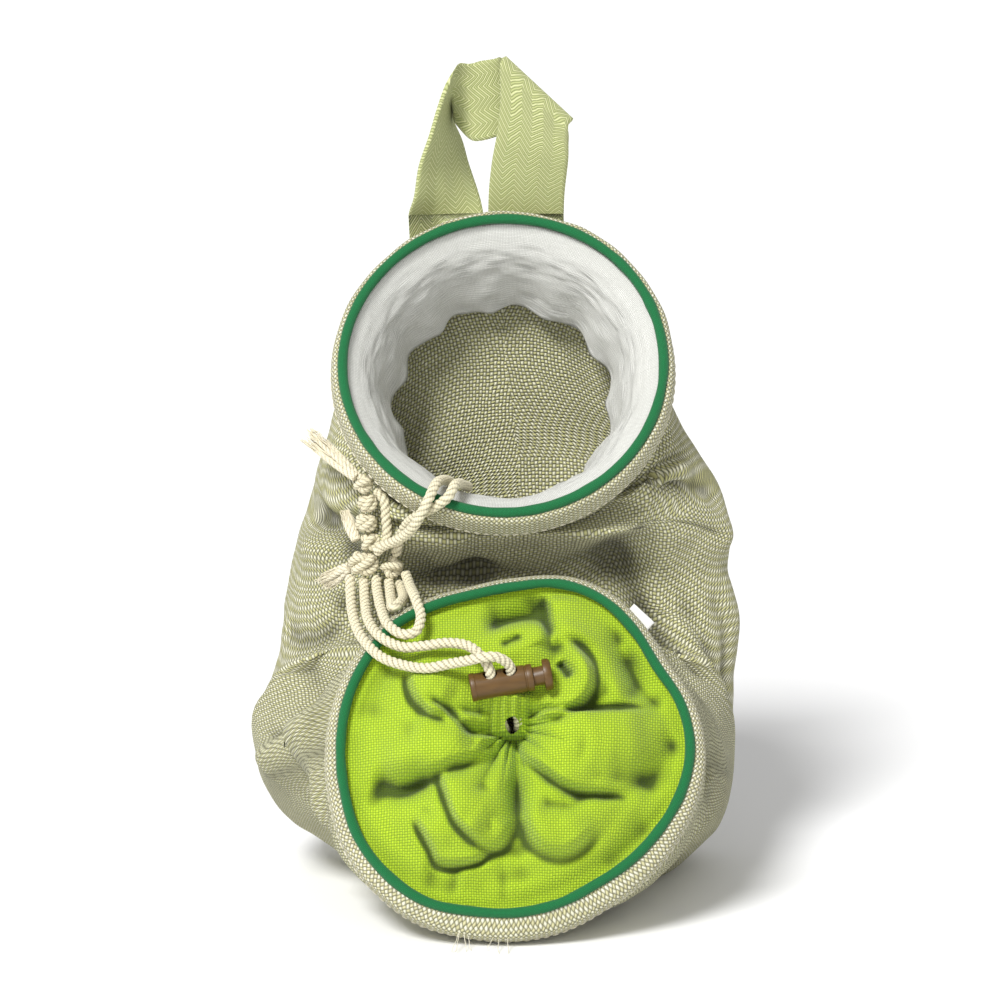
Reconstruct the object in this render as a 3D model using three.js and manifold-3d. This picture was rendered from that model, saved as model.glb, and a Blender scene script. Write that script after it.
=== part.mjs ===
// A small cloth sack for keeping garlic, standing empty and folded over on itself.
// A canvas tube runs from the open mouth at the top, down the back and forward to a round sleeve
// low at the front, which a drawstring with a cord lock gathers shut.
// Millimetres, +X to the right, +Y to the back, +Z up, with the origin on the flat underside.
import * as THREE from "three";
import { mergeVertices } from "three/addons/utils/BufferGeometryUtils.js";
import Module from "manifold-3d";

const wasm = await Module();
wasm.setup();

// Sizes in mm, angles in degrees
const gap = 0.35; // left between two pieces that touch
const sackWidth = 157; // across the low corners of the canvas
const sackDepth = 122; // from the front of the sleeve to the back of the canvas
const canvasWall = 1.6;
const sleeveRadius = 60; // outside of the sleeve's hem, at its sides
const sleeveLean = 22; // how far the sleeve's opening looks up
const sleeveForward = 35.5; // its centre in front of the origin
const sleeveShift = 4.9; // and to the right of it
const mouthRadius = 56;
const mouthLean = 35;
const mouthBack = 16;
const mouthShift = 1;
const lipGap = 15; // height of the mouth's lip over the top of the sleeve
const hemHeight = 9.8; // width of a hem, along its ring's axis
const sleeveHemThickness = 6;
const mouthHemThickness = 4;
const hemWall = 3; // the hem's turned layers
const pipingDiameter = 3.2;
const sleeveClothWall = 1.2; // the lime cotton
const closureBulge = 13; // its fullest pillow in front of the piping
const gatherHoleRadius = 4.4;
const gatherRise = 6.4; // the gathered hole over the ring's centre
const gatherShift = -1;
const liningDepth = 32; // how far the white lining reaches into the mouth
const liningWall = 1.2;
const tapeWidth = 25;
const tapeThickness = 1.4;
const loopHeight = 54; // the tape loop over the top of the mouth's hem
const cordDiameter = 3.4;
const lockLength = 20; // barrel of the cord lock
const lockDiameter = 8.6;
const lockBore = 6.6;
const lockHole = 4.6;
const lockHolePitch = 6.4;
const lockRise = 19.1; // the cord lock over the ring's centre, in the ring's plane
const lockShift = -1.4;
const lockClear = 26.4; // and in front of the ring's base
const lockTurn = 10; // its right end is higher
const lockTip = 45; // its holes look up this much over the ring's axis
const plungerDiameter = 6;
const plungerNeck = 3.5; // what shows of the shaft between barrel and head
const plungerHead = 10;
const plungerHeadLength = 2.6;
const labelWidth = 9;
const labelHeight = 5.5;
const labelThickness = 1;
const labelAngle = 47; // round the sleeve's ring

const columns = 44; // steps round the canvas and every ring
const sackRows = 24; // steps along the canvas

const degrees = Math.PI / 180;
const clamp = THREE.MathUtils.clamp;
const lerp = THREE.MathUtils.lerp;
const vector = (x, y, z) => new THREE.Vector3(x, y, z);

// Rows of numbers as objects with named columns.
function table(names, rows) {
  return rows.map((row) => Object.fromEntries(names.map((name, i) => [name, row[i]])));
}

// A cubic through b and c with the slopes that their neighbours give, at t from 0 to 1.
function cubic(a, b, c, d, t) {
  const start = (c - a) / 2;
  const end = (d - b) / 2;
  const bend = -3 * b - 2 * start + 3 * c - end;
  return b + start * t + bend * t * t + (2 * b + start - 2 * c + end) * t ** 3;
}

// The rows of a table blended smoothly, at t from 0 at its first row to 1 at its last.
function blend(rows, t) {
  const place = clamp(t, 0, 1) * (rows.length - 1);
  const i = Math.min(Math.floor(place), rows.length - 2);
  const row = (k) => rows[clamp(k, 0, rows.length - 1)];
  const names = Object.keys(rows[0]);
  const mixed = (name) =>
    cubic(row(i - 1)[name], row(i)[name], row(i + 1)[name], row(i + 2)[name], place - i);
  return Object.fromEntries(names.map((name) => [name, mixed(name)]));
}

// The share at an angle of a closed outline, whose rows are evenly spaced round from 0 degrees.
function roundShare(shares, angle) {
  const count = shares.length;
  const place = ((((angle / 360) % 1) + 1) % 1) * count;
  const i = Math.floor(place);
  const share = (k) => shares[(k + count) % count];
  return cubic(share(i - 1), share(i), share(i + 1), share(i + 2), place - i);
}

// A closed body from rings of as many points each, where the last ring meets the first again.
function closedBand(rings) {
  const count = rings[0].length;
  const positions = rings.flat().flatMap((p) => p.toArray());
  const index = [];
  rings.forEach((ring, i) => {
    const next = ((i + 1) % rings.length) * count;
    for (let j = 0; j < count; j++) {
      const k = (j + 1) % count;
      index.push(i * count + j, i * count + k, next + j, next + j, i * count + k, next + k);
    }
  });
  return facingOut(positions, index);
}

// A closed body from rings that run from end to end, with a flat cap on each.
function cappedLoft(rings) {
  const count = rings[0].length;
  const positions = rings.flat().flatMap((p) => p.toArray());
  const index = [];
  for (let i = 0; i + 1 < rings.length; i++) {
    for (let j = 0; j < count; j++) {
      const k = (j + 1) % count;
      const [here, next] = [i * count, (i + 1) * count];
      index.push(here + j, here + k, next + j, next + j, here + k, next + k);
    }
  }
  const last = (rings.length - 1) * count;
  for (let j = 1; j + 1 < count; j++) {
    index.push(0, j + 1, j, last, last + j, last + j + 1);
  }
  return facingOut(positions, index);
}

// An indexed geometry, turned inside out where its volume comes out negative.
function facingOut(positions, index) {
  const at = (i) => vector(...positions.slice(3 * i, 3 * i + 3));
  let volume = 0;
  for (let i = 0; i < index.length; i += 3) {
    const [a, b, c] = [at(index[i]), at(index[i + 1]), at(index[i + 2])];
    volume += a.dot(b.cross(c));
  }
  const geometry = new THREE.BufferGeometry();
  geometry.setAttribute("position", new THREE.Float32BufferAttribute(positions, 3));
  geometry.setIndex(volume < 0 ? index.reverse() : index);
  geometry.computeVertexNormals();
  return geometry;
}

// A three.js geometry as a solid that can be joined and cut.
function solid(geometry) {
  const bare = geometry.clone();
  bare.deleteAttribute("normal");
  bare.deleteAttribute("uv");
  const merged = mergeVertices(bare, 1e-4);
  const mesh = new wasm.Mesh({
    numProp: 3,
    vertProperties: merged.attributes.position.array,
    triVerts: new Uint32Array(merged.index.array),
  });
  return new wasm.Manifold(mesh);
}

function geometryOf(made) {
  const mesh = made.getMesh();
  const geometry = new THREE.BufferGeometry();
  geometry.setAttribute("position", new THREE.BufferAttribute(mesh.vertProperties, 3));
  geometry.setIndex(new THREE.BufferAttribute(mesh.triVerts, 1));
  geometry.computeVertexNormals();
  return geometry;
}

// The two rings. An outline holds the piping's radius and a band the hem's thickness, as shares of
// their sizes, from the right side round by the top in equal steps.
const sleeveOutline = [
  1.03, 1.01, 0.965, 0.99, 1.02, 1.01, 0.96, 0.945, 0.975, 1.02, 1.025, 1.03,
  1.03, 1.04, 1.065, 1.065, 1.05, 1.0, 0.975, 0.955, 0.935, 0.95, 0.975, 1.01,
];
const sleeveBand = [0.85, 0.7, 0.6, 0.62, 0.85, 1.05, 1.4, 1.25];
const mouthOutline = [1.0, 1.01, 1.0, 0.99, 1.0, 1.0, 1.01, 1.0];
const mouthBand = [1.0, 1.0, 1.0, 1.0, 1.0, 1.0, 1.0, 1.0];

// A ring leans back by its lean: out is its axis towards the viewer, up lies in its plane.
function ring({ radius, thickness, lean, x, y, bottom, outline, band }) {
  const out = vector(0, -Math.cos(lean * degrees), Math.sin(lean * degrees));
  const up = vector(0, Math.sin(lean * degrees), Math.cos(lean * degrees));
  const inner = (angle) => (radius - thickness) * roundShare(outline, angle);
  const outer = (angle) => inner(angle) + thickness * roundShare(band, angle);
  const centre = vector(x, y, bottom + outer(270) * up.z);
  const place = (across, above, axial) =>
    vector(across, 0, 0).addScaledVector(up, above).addScaledVector(out, axial).add(centre);
  const point = (angle, reach, axial) =>
    place(reach * Math.cos(angle * degrees), reach * Math.sin(angle * degrees), axial);
  return { centre, lean, out, up, inner, outer, place, point };
}

const sleeve = ring({
  radius: sleeveRadius,
  thickness: sleeveHemThickness,
  lean: sleeveLean,
  x: sleeveShift,
  y: -sleeveForward,
  bottom: gap,
  outline: sleeveOutline,
  band: sleeveBand,
});
const mouth = ring({
  radius: mouthRadius,
  thickness: mouthHemThickness,
  lean: mouthLean,
  x: mouthShift,
  y: mouthBack,
  bottom: sleeve.point(90, sleeve.outer(90), 0).z + lipGap,
  outline: mouthOutline,
  band: mouthBand,
});

const columnAngles = Array.from({ length: columns }, (_, j) => (360 * j) / columns);

// A ring-shaped piece: its section holds [reach past the piping's circle, axial place] for an angle.
function ringPiece(onRing, section) {
  const profiles = columnAngles.map((angle) => section(angle));
  const rows = profiles[0].map((_, i) =>
    columnAngles.map((angle, j) => {
      const [reach, axial] = profiles[j][i];
      return onRing.point(angle, onRing.inner(angle) + reach, axial);
    }),
  );
  return closedBand(rows);
}

// The canvas
// Its sections from the mouth to the sleeve. shift, wide: shares of half the sack's width. back,
// deep: shares of its depth. up: share of the mouth centre's height. lean: degrees that the tube's
// run points below the horizontal to the back. square: 2 is an ellipse, more is fuller in the corners.
const sackSections = table(
  ["shift", "back", "up", "lean", "wide", "deep", "square"],
  [
    [0.02, 0.222, 0.965, 40, 0.68, 0.44, 2.05],
    [0.02, 0.262, 0.88, 60, 0.72, 0.34, 2.2],
    [0.08, 0.27, 0.74, 85, 0.87, 0.26, 2.4],
    [0.04, 0.28, 0.585, 96, 0.93, 0.245, 2.4],
    [0.02, 0.255, 0.43, 115, 0.975, 0.27, 2.5],
    [-0.01, 0.197, 0.257, 145, 1.0, 0.44, 3.4],
    [0.0, -0.066, 0.251, 175, 0.95, 0.395, 2.1],
    [0.03, -0.18, 0.3, 192, 0.83, 0.44, 2.05],
  ],
);

// Folds of the canvas: ridges where rise is positive, valleys where it is negative. Each runs from
// one place to another, given along the tube (0 at the mouth, 1 at the sleeve) and round it in
// degrees (0 right, 90 back and below, 180 left, 270 the front, inside the fold). rise and reach
// are shares of the sack's depth.
const sackFolds = table(
  ["fromAlong", "fromRound", "toAlong", "toRound", "rise", "reach"],
  [
    [0.36, 243, 0.32, 290, 0.075, 0.055], // the roll between the mouth's lip and the sleeve
    [0.32, 300, 0.38, 340, 0.03, 0.06],
    [0.43, 250, 0.42, 268, -0.03, 0.05], // the hollow under that roll
    [0.12, 236, 0.45, 238, 0.045, 0.05], // panel that comes forward at the left
    [0.25, 322, 0.31, 345, -0.03, 0.045], // under the right shoulder
    [0.4, 288, 0.5, 308, -0.03, 0.06],
    [0.67, 308, 0.7, 322, -0.03, 0.05],
    [0.34, 187, 0.39, 226, -0.025, 0.05],
    [0.68, 222, 0.9, 216, -0.05, 0.055], // from behind the sleeve to the left
    [0.7, 187, 0.93, 192, 0.03, 0.055], // up from the low left corner
    [0.86, 150, 0.97, 176, -0.04, 0.055],
    [0.55, 142, 0.86, 142, -0.085, 0.14], // the left underside lifts off the ground
    [0.94, 357, 0.8, 12, -0.03, 0.05],
    [0.36, 75, 0.52, 118, -0.03, 0.08], // slack of the back
    [0.5, 60, 0.6, 85, 0.03, 0.07],
  ],
);

const sackLength = 1.45 * mouth.centre.z; // of the tube, along its middle

// The share of a fold that a place takes: 1 on its line, fading to 0 past its reach and its ends.
function foldShare(fold, along, around) {
  const girth = Math.PI * sackWidth * 0.42;
  const flat = (a, r) => [a * sackLength, (r / 360) * girth];
  const [sx, sy] = flat(fold.fromAlong, fold.fromRound);
  const [ex, ey] = flat(fold.toAlong, fold.toRound);
  const [px, py] = flat(along, around);
  const length = Math.hypot(ex - sx, ey - sy);
  const onward = ((px - sx) * (ex - sx) + (py - sy) * (ey - sy)) / length;
  const aside = ((px - sx) * (ey - sy) - (py - sy) * (ex - sx)) / length;
  const reach = fold.reach * sackDepth;
  const beyond = Math.max(-onward, onward - length, 0);
  return Math.exp(-((aside / reach) ** 2) - (beyond / reach) ** 2);
}

function endSection(onRing, way) {
  const share = sackWidth / 2;
  return {
    shift: onRing.centre.x / share,
    back: onRing.centre.y / sackDepth,
    up: onRing.centre.z / mouth.centre.z,
    lean: way,
    wide: onRing.inner(0) / share,
    deep: onRing.inner(0) / sackDepth,
    square: 2,
  };
}

const sections = [
  endSection(mouth, mouthLean),
  ...sackSections,
  endSection(sleeve, 180 + sleeveLean),
];

// A point of the canvas' outer face, along from 0 to 1 and round in degrees.
function sackPoint(along, round) {
  const row = blend(sections, along);
  const [cos, sin] = [Math.cos(round * degrees), Math.sin(round * degrees)];
  const power = 2 / row.square;
  const across = Math.sign(cos) * Math.abs(cos) ** power * row.wide * (sackWidth / 2);
  const outward = Math.sign(sin) * Math.abs(sin) ** power * row.deep * sackDepth;
  const nearMouth = 1 - THREE.MathUtils.smoothstep(along, 0, 0.12);
  const nearSleeve = THREE.MathUtils.smoothstep(along, 0.86, 1);
  const end = (onRing, angle) => (onRing.outer(angle) - gap) / onRing.inner(0);
  const swell =
    1 + nearMouth * (end(mouth, round) - 1) + nearSleeve * (end(sleeve, -round) - 1);
  const run = row.lean * degrees;
  const rise = sackFolds.reduce((sum, fold) => sum + fold.rise * foldShare(fold, along, round), 0);
  const stretch = rise * sackDepth * (1 - nearMouth) * (1 - nearSleeve);
  const x = row.shift * (sackWidth / 2) + across * swell + cos * stretch;
  const side = outward * swell + sin * stretch;
  const y = row.back * sackDepth + side * Math.sin(run);
  const z = row.up * mouth.centre.z + side * Math.cos(run);
  return vector(x, y, Math.max(z, 0));
}

// The inner face lies one wall further in, square to the outer one.
function sackInnerPoint(along, round) {
  const step = 0.004;
  const onward = sackPoint(Math.min(along + step, 1), round);
  onward.sub(sackPoint(Math.max(along - step, 0), round));
  const aside = sackPoint(along, round + 2).sub(sackPoint(along, round - 2));
  const outward = onward.cross(aside);
  const end = { 0: mouth, 1: sleeve }[along];
  if (end) outward.projectOnPlane(end.out);
  outward.normalize();
  const inner = sackPoint(along, round).addScaledVector(outward, -canvasWall);
  inner.z = Math.max(inner.z, canvasWall);
  return inner;
}

function sackGeometry() {
  const rows = Array.from({ length: sackRows + 1 }, (_, i) => i / sackRows);
  const face = (point) => rows.map((along) => columnAngles.map((round) => point(along, round)));
  return closedBand([...face(sackPoint), ...face(sackInnerPoint).reverse()]);
}

// Hems and piping
function hemSection(onRing) {
  const beside = pipingDiameter / 2 + gap;
  return (angle) => {
    const full = onRing.outer(angle) - onRing.inner(angle);
    return [
      [full - gap, gap],
      [full, 0.36 * hemHeight],
      [0.86 * full, 0.8 * hemHeight],
      [beside, 0.95 * hemHeight],
      [0.25, hemHeight - beside - gap],
      [full - hemWall, gap],
    ];
  };
}

function pipingSection() {
  const sides = 6;
  return () =>
    Array.from({ length: sides }, (_, i) => {
      const turn = (2 * Math.PI * i) / sides;
      const radius = pipingDiameter / 2;
      return [radius * Math.cos(turn), hemHeight + radius * Math.sin(turn)];
    });
}

// The closure
// Rows from the piping to the gathered hole. in: share of the way. up: share of the fullest bulge.
const closureRows = table(
  ["in", "up"],
  [
    [0, 0],
    [0.06, 0.02],
    [0.17, 0.3],
    [0.32, 0.68],
    [0.48, 0.9],
    [0.64, 1.0],
    [0.78, 0.86],
    [0.9, 0.4],
    [0.97, -0.25],
    [1.0, -0.75],
  ],
);

// Swells and hollows of the closure: across and above give the middle as shares of the piping's
// radius, long and broad its half sizes, turn the long way in degrees, up a share of the bulge.
const closureSwells = table(
  ["across", "above", "long", "broad", "turn", "up"],
  [
    [0.5, 0.02, 0.42, 0.16, 0, 0.3],
    [0.62, -0.22, 0.3, 0.1, 10, -0.5],
    [0.28, -0.42, 0.3, 0.18, 45, 0.3],
    [0.02, -0.36, 0.3, 0.08, 90, -0.5],
    [-0.22, -0.35, 0.34, 0.15, 62, 0.35],
    [-0.42, -0.42, 0.2, 0.14, 60, 0.2],
    [-0.62, -0.05, 0.3, 0.14, 12, 0.3],
    [-0.68, -0.24, 0.26, 0.1, 15, -0.4],
    [-0.46, 0.33, 0.22, 0.17, 120, 0.35],
    [-0.36, 0.13, 0.22, 0.09, 150, -0.35],
    [0.02, 0.6, 0.25, 0.15, 10, 0.25],
    [-0.02, 0.8, 0.28, 0.1, 10, -0.5],
    [0.4, 0.42, 0.24, 0.2, 60, 0.3],
    [0.22, 0.66, 0.3, 0.09, 95, -0.35],
    [0.72, 0.45, 0.32, 0.1, 125, -0.4],
    [0.5, 0.22, 0.26, 0.09, 170, -0.3],
  ],
);

function closureSwell(across, above) {
  return closureSwells.reduce((sum, swell) => {
    const turn = swell.turn * degrees;
    const [dx, dy] = [across - swell.across, above - swell.above];
    const onward = (dx * Math.cos(turn) + dy * Math.sin(turn)) / swell.long;
    const aside = (dy * Math.cos(turn) - dx * Math.sin(turn)) / swell.broad;
    return sum + swell.up * Math.exp(-(onward ** 2) - aside ** 2);
  }, 0);
}

// A point of the closure's outer face, lowered square to the ring by the wall for its inner face.
function closurePoint(row, angle, sunk) {
  const rim = sleeve.inner(angle) - gap;
  const reach = lerp(rim, gatherHoleRadius, row.in);
  const drift = row.in ** 2;
  const across = reach * Math.cos(angle * degrees) + drift * gatherShift;
  const above = reach * Math.sin(angle * degrees) + drift * gatherRise;
  const radius = sleeveRadius - sleeveHemThickness;
  const loose = Math.sin(Math.PI * clamp(row.in * 1.05, 0, 1));
  const full = row.up + loose * closureSwell(across / radius, above / radius);
  const edge = hemHeight - pipingDiameter / 2 - gap;
  return sleeve.place(across, above, edge + closureBulge * full - sunk);
}

function closureGeometry() {
  const face = (sunk) =>
    closureRows.map((row) => columnAngles.map((angle) => closurePoint(row, angle, sunk)));
  return closedBand([...face(0), ...face(sleeveClothWall).reverse()]);
}

// The lining
// in: how far a row lies inside the piping's circle. down: how far below the piping. Both are
// shares of the lining's depth. gather: share of the depth that its gathers swing.
const liningRows = table(
  ["in", "down", "gather"],
  [
    [0.0, 0.0, 0],
    [0.2, 0.2, 0.005],
    [0.33, 0.5, 0.02],
    [0.47, 1.0, 0.045],
  ],
);
const liningGathers = 11;

function liningGeometry() {
  const top = hemHeight - pipingDiameter / 2 - gap;
  const face = (sunk) =>
    liningRows.map((row) =>
      columnAngles.map((angle) => {
        const swing = row.gather * Math.cos(angle * degrees * liningGathers);
        const inwards = (row.in + swing) * liningDepth + gap + sunk;
        const axial = top - row.down * liningDepth;
        return mouth.point(angle, mouth.inner(angle) - inwards, axial);
      }),
    );
  return closedBand([...face(0).reverse(), ...face(liningWall)]);
}

// The hanging loop
// A tape whose feet are sewn to the canvas behind the mouth's hem, twisted at the left and folded
// over a corner at the right. Stations hold the middle of the tape as shares of the loop's height
// (across from the mouth's middle, back from its top, up from the hem's foot there), the way its
// width points (turn away from the viewer and tilt up, in degrees) and its span as a share of its
// width, which grows where the fold crosses it aslant.
const loopStations = table(
  ["across", "back", "up", "turn", "tilt", "span"],
  [
    [-0.35, 0.05, 0.03, 8, 0, 1],
    [-0.35, 0.03, 0.16, 34, 2, 1],
    [-0.36, 0.03, 0.34, 51, -5, 1],
    [-0.35, 0.03, 0.5, 66, -10, 1],
    [-0.35, 0.03, 0.65, 80, -17, 1],
    [-0.33, 0.03, 0.755, 87, -24, 1],
    [-0.28, 0.02, 0.77, 90, -58, 1],
    [-0.2, 0.01, 0.73, 70, -84, 1.03],
    [-0.12, 0.01, 0.74, 20, -86, 1.05],
    [0.0, 0.01, 0.77, 0, -79, 1],
    [0.12, 0.02, 0.8, 0, -56, 1.05],
    [0.19, 0.02, 0.8, 0, -44, 1.22],
    [0.215, -0.03, 0.815, 0, -43, 1.22],
    [0.19, -0.08, 0.79, 0, -43, 1.22],
    [0.19, -0.085, 0.72, 0, -41, 1.2],
    [0.19, -0.08, 0.62, 0, -32, 1.06],
    [0.18, -0.06, 0.47, 0, -20, 1],
    [0.16, -0.02, 0.33, 0, -10, 1],
    [0.145, 0.02, 0.18, 0, -4, 1],
    [0.14, 0.05, 0.03, 0, 0, 1],
  ],
);
const loopSteps = 36;

// The middle of the tape, which way its width points and how long half of that is.
function loopSpot(t) {
  const row = blend(loopStations, t);
  const seat = mouth.point(90, mouth.outer(90), 0);
  const [turn, tilt] = [row.turn * degrees, row.tilt * degrees];
  const wide = vector(Math.cos(turn), Math.sin(turn), 0).multiplyScalar(Math.cos(tilt));
  wide.z = Math.sin(tilt);
  const middle = vector(row.across, row.back, row.up).multiplyScalar(loopHeight).add(seat);
  return { middle, wide, half: (row.span * tapeWidth) / 2 };
}

// A foot lies on the canvas behind the hem, over one row of it.
function footSpot(across, row) {
  const angle = Math.acos((across * loopHeight) / mouth.outer(90)) / degrees;
  const along = row / sackRows;
  const skin = sackPoint(along, angle);
  const wide = sackPoint(along, angle - 3).sub(sackPoint(along, angle + 3)).normalize();
  const onward = sackPoint((row + 1) / sackRows, angle).sub(skin);
  const outward = wide.clone().cross(onward).normalize();
  const middle = skin.addScaledVector(outward, tapeThickness / 2 + gap);
  return { middle, wide, half: tapeWidth / 2 };
}

function loopGeometry() {
  const [first, last] = [loopStations[0], loopStations[loopStations.length - 1]];
  const rise = Array.from({ length: loopSteps + 1 }, (_, i) => loopSpot(i / loopSteps));
  const foot = ({ across }) => [footSpot(across, 0), footSpot(across, 1)];
  const run = [...foot(first).reverse(), ...rise, ...foot(last)];
  const rings = run.map(({ middle, wide, half }, i) => {
    const after = run[Math.min(i + 1, run.length - 1)].middle;
    const onward = after.clone().sub(run[Math.max(i - 1, 0)].middle);
    const thick = onward.cross(wide).normalize();
    const corner = (w, n) =>
      middle.clone().addScaledVector(wide, w * half).addScaledVector(thick, (n * tapeThickness) / 2);
    return [corner(-1, -1), corner(1, -1), corner(1, 1), corner(-1, 1)];
  });
  return cappedLoft(rings);
}

// The cord lock
// Its own frame has X along the barrel to the plunger's head and Z along the holes, with its
// middle halfway between the two ends.
const headStart = lockLength / 2 + plungerNeck - (plungerNeck + plungerHeadLength) / 2;
const barrelMiddle = -(plungerNeck + plungerHeadLength) / 2;
const holeXs = [barrelMiddle - lockHolePitch / 2, barrelMiddle + lockHolePitch / 2];
const lockSides = 16;

// The shaft's slot lets both strands through, also when the plunger is pushed in by its stroke.
const stroke = plungerNeck - 1.1;
const shaftStart = holeXs[0] - lockHole / 2 - 0.8;

// A rod along X from one place to another.
function rod(diameter, from, to, sides = lockSides) {
  const geometry = new THREE.CylinderGeometry(diameter / 2, diameter / 2, to - from, sides);
  return solid(geometry.rotateZ(Math.PI / 2).translate((from + to) / 2, 0, 0));
}

function crossHole(x, length) {
  const geometry = new THREE.CylinderGeometry(lockHole / 2, lockHole / 2, length, 12);
  return solid(geometry.rotateX(Math.PI / 2).translate(x, 0, 0));
}

function barrelGeometry() {
  const [start, end] = [barrelMiddle - lockLength / 2, barrelMiddle + lockLength / 2];
  const collar = rod(lockDiameter * 1.06, start, start + 0.08 * lockLength);
  const body = rod(lockDiameter, start, end).add(collar);
  const bored = body.subtract(rod(lockBore, shaftStart - stroke - 0.3, end + 1));
  return geometryOf(holeXs.reduce((made, x) => made.subtract(crossHole(x, 2 * lockDiameter)), bored));
}

function plungerGeometry() {
  const shaft = rod(plungerDiameter, shaftStart, headStart + 0.1);
  const head = rod(plungerHead, headStart, headStart + plungerHeadLength);
  const [slotStart, slotEnd] = [holeXs[0], holeXs[1] + stroke];
  const across = new THREE.BoxGeometry(slotEnd - slotStart, lockHole, 2 * plungerDiameter);
  const slot = solid(across.translate((slotStart + slotEnd) / 2, 0, 0))
    .add(crossHole(slotStart, 2 * plungerDiameter))
    .add(crossHole(slotEnd, 2 * plungerDiameter));
  return geometryOf(shaft.add(head).subtract(slot));
}

// The lock's frame on the sleeve's ring.
function lockFrame() {
  const [cos, sin] = [Math.cos(lockTurn * degrees), Math.sin(lockTurn * degrees)];
  const along = vector(cos, 0, 0).addScaledVector(sleeve.up, sin);
  const over = vector(-sin, 0, 0).addScaledVector(sleeve.up, cos);
  const holes = sleeve.out.clone().multiplyScalar(Math.cos(lockTip * degrees));
  holes.addScaledVector(over, Math.sin(lockTip * degrees));
  const frame = new THREE.Matrix4().makeBasis(along, holes.clone().cross(along), holes);
  return frame.setPosition(sleeve.place(lockShift, lockRise, lockClear));
}

// Cords, knots and frayed ends
// Points of each cord's middle, chosen by hand, in mm.
const cordRoutes = {
  closure_cord_upper: [
    [2.0, -34.6, 63.6], [1.0, -44.6, 67.7], [-1.9, -50.9, 78.1], [-2.7, -53.2, 83.6],
    [-3.4, -55.6, 89.0], [-6.0, -53.4, 92.8], [-10.3, -49.8, 95.2], [-16.8, -46.6, 95.3],
    [-24.3, -44.0, 93.7], [-31.2, -41.2, 92.7], [-37.8, -36.8, 94.7], [-42.0, -27.4, 97.8],
    [-43.4, -16.9, 100.9], [-43.9, -10.0, 104.1], [-44.1, -6.4, 106.5],
  ],
  closure_cord_lower: [
    [5.9, -34.6, 63.6], [6.1, -44.4, 68.3], [4.4, -50.5, 79.1], [3.6, -52.8, 84.6],
    [2.9, -55.2, 90.1], [-1.0, -57.8, 93.4], [-5.4, -58.4, 93.5], [-10.2, -56.0, 91.9],
    [-15.9, -52.7, 90.0], [-23.0, -50.1, 88.0], [-30.3, -45.8, 87.8], [-37.7, -41.2, 89.4],
    [-44.2, -31.8, 93.7], [-47.4, -19.6, 98.5], [-48.3, -10.8, 103.6], [-48.5, -6.6, 107.6],
  ],
  mouth_cord_upper: [
    [-10.3, 3.6, 135.2], [-12.0, -5.8, 137.9], [-13.4, -14.2, 140.1], [-14.7, -21.2, 140.6],
    [-16.4, -24.4, 138.0], [-20.2, -23.6, 134.8], [-26.4, -19.2, 130.6], [-30.3, -12.5, 125.9],
    [-32.6, -8.6, 120.1], [-33.6, -7.2, 115.2],
  ],
  mouth_cord_lower: [
    [-15.2, 3.9, 136.1], [-16.9, -5.4, 139.2], [-18.7, -13.6, 141.0], [-20.5, -20.8, 141.2],
    [-23.1, -25.8, 136.7], [-26.7, -25.0, 129.6], [-30.5, -19.4, 124.2], [-34.5, -14.3, 120.9],
    [-37.6, -10.9, 118.8], [-40.0, -9.5, 116.5],
  ],
  knot_strand: [
    [-39.9, -1.6, 135.2], [-37.4, -3.6, 132.2], [-36.9, -4.4, 126.6], [-36.5, -5.0, 121.8],
    [-37.1, -5.6, 117.6],
  ],
  cord_bight: [
    [-30.4, -8.7, 108.9], [-28.8, -16.5, 106.5], [-27.0, -28.5, 105.5], [-25.2, -36.0, 101.0],
    [-26.8, -39.6, 97.3], [-30.9, -39.3, 96.4], [-35.4, -34.9, 98.2], [-38.0, -24.5, 100.9],
    [-39.3, -14.9, 103.4], [-39.9, -9.9, 105.2], [-40.0, -7.0, 107.2],
  ],
  cord_bight_inner: [
    [-35.9, -7.6, 106.2], [-35.4, -14.0, 103.8], [-34.8, -21.4, 102.4], [-34.5, -27.0, 102.4],
    [-33.4, -28.2, 102.8], [-32.0, -24.4, 103.3], [-31.2, -16.0, 103.0], [-31.7, -9.4, 103.8],
    [-32.6, -6.1, 105.3],
  ],
};

function cordGeometry(points) {
  const path = new THREE.CatmullRomCurve3(points.map((p) => vector(...p)), false, "centripetal");
  const circle = new THREE.Shape();
  const sides = 8;
  for (let i = 0; i < sides; i++) {
    const turn = (2 * Math.PI * (i + 0.5)) / sides;
    const [x, y] = [(Math.cos(turn) * cordDiameter) / 2, (Math.sin(turn) * cordDiameter) / 2];
    if (i) circle.lineTo(x, y);
    else circle.moveTo(x, y);
  }
  const steps = Math.max(6, Math.round(path.getLength() / (2.1 * cordDiameter)));
  return new THREE.ExtrudeGeometry(circle, { steps, extrudePath: path, curveSegments: 1 });
}

// Knots hold their middle in mm and their half sizes as shares of the cord's diameter. Each is
// lumpy where the cord wraps round it.
const knots = table(
  ["name", "x", "y", "z", "wide", "deep", "high", "wraps"],
  [
    ["knot_top", -44.2, -3.2, 137.7, 0.93, 0.93, 0.93, 3],
    ["knot_upper", -42.9, -2.9, 131.2, 1.0, 0.95, 0.86, 4],
    ["knot_middle", -43.4, -4.2, 125.0, 1.1, 0.98, 0.86, 5],
    ["knot_lower", -42.0, -5.2, 118.8, 1.05, 0.98, 0.86, 3],
    ["knot_main", -44.2, -6.4, 112.0, 1.5, 1.25, 1.12, 4],
    ["knot_side", -34.9, -6.6, 110.8, 1.05, 1.05, 1.05, 3],
  ],
);

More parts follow.
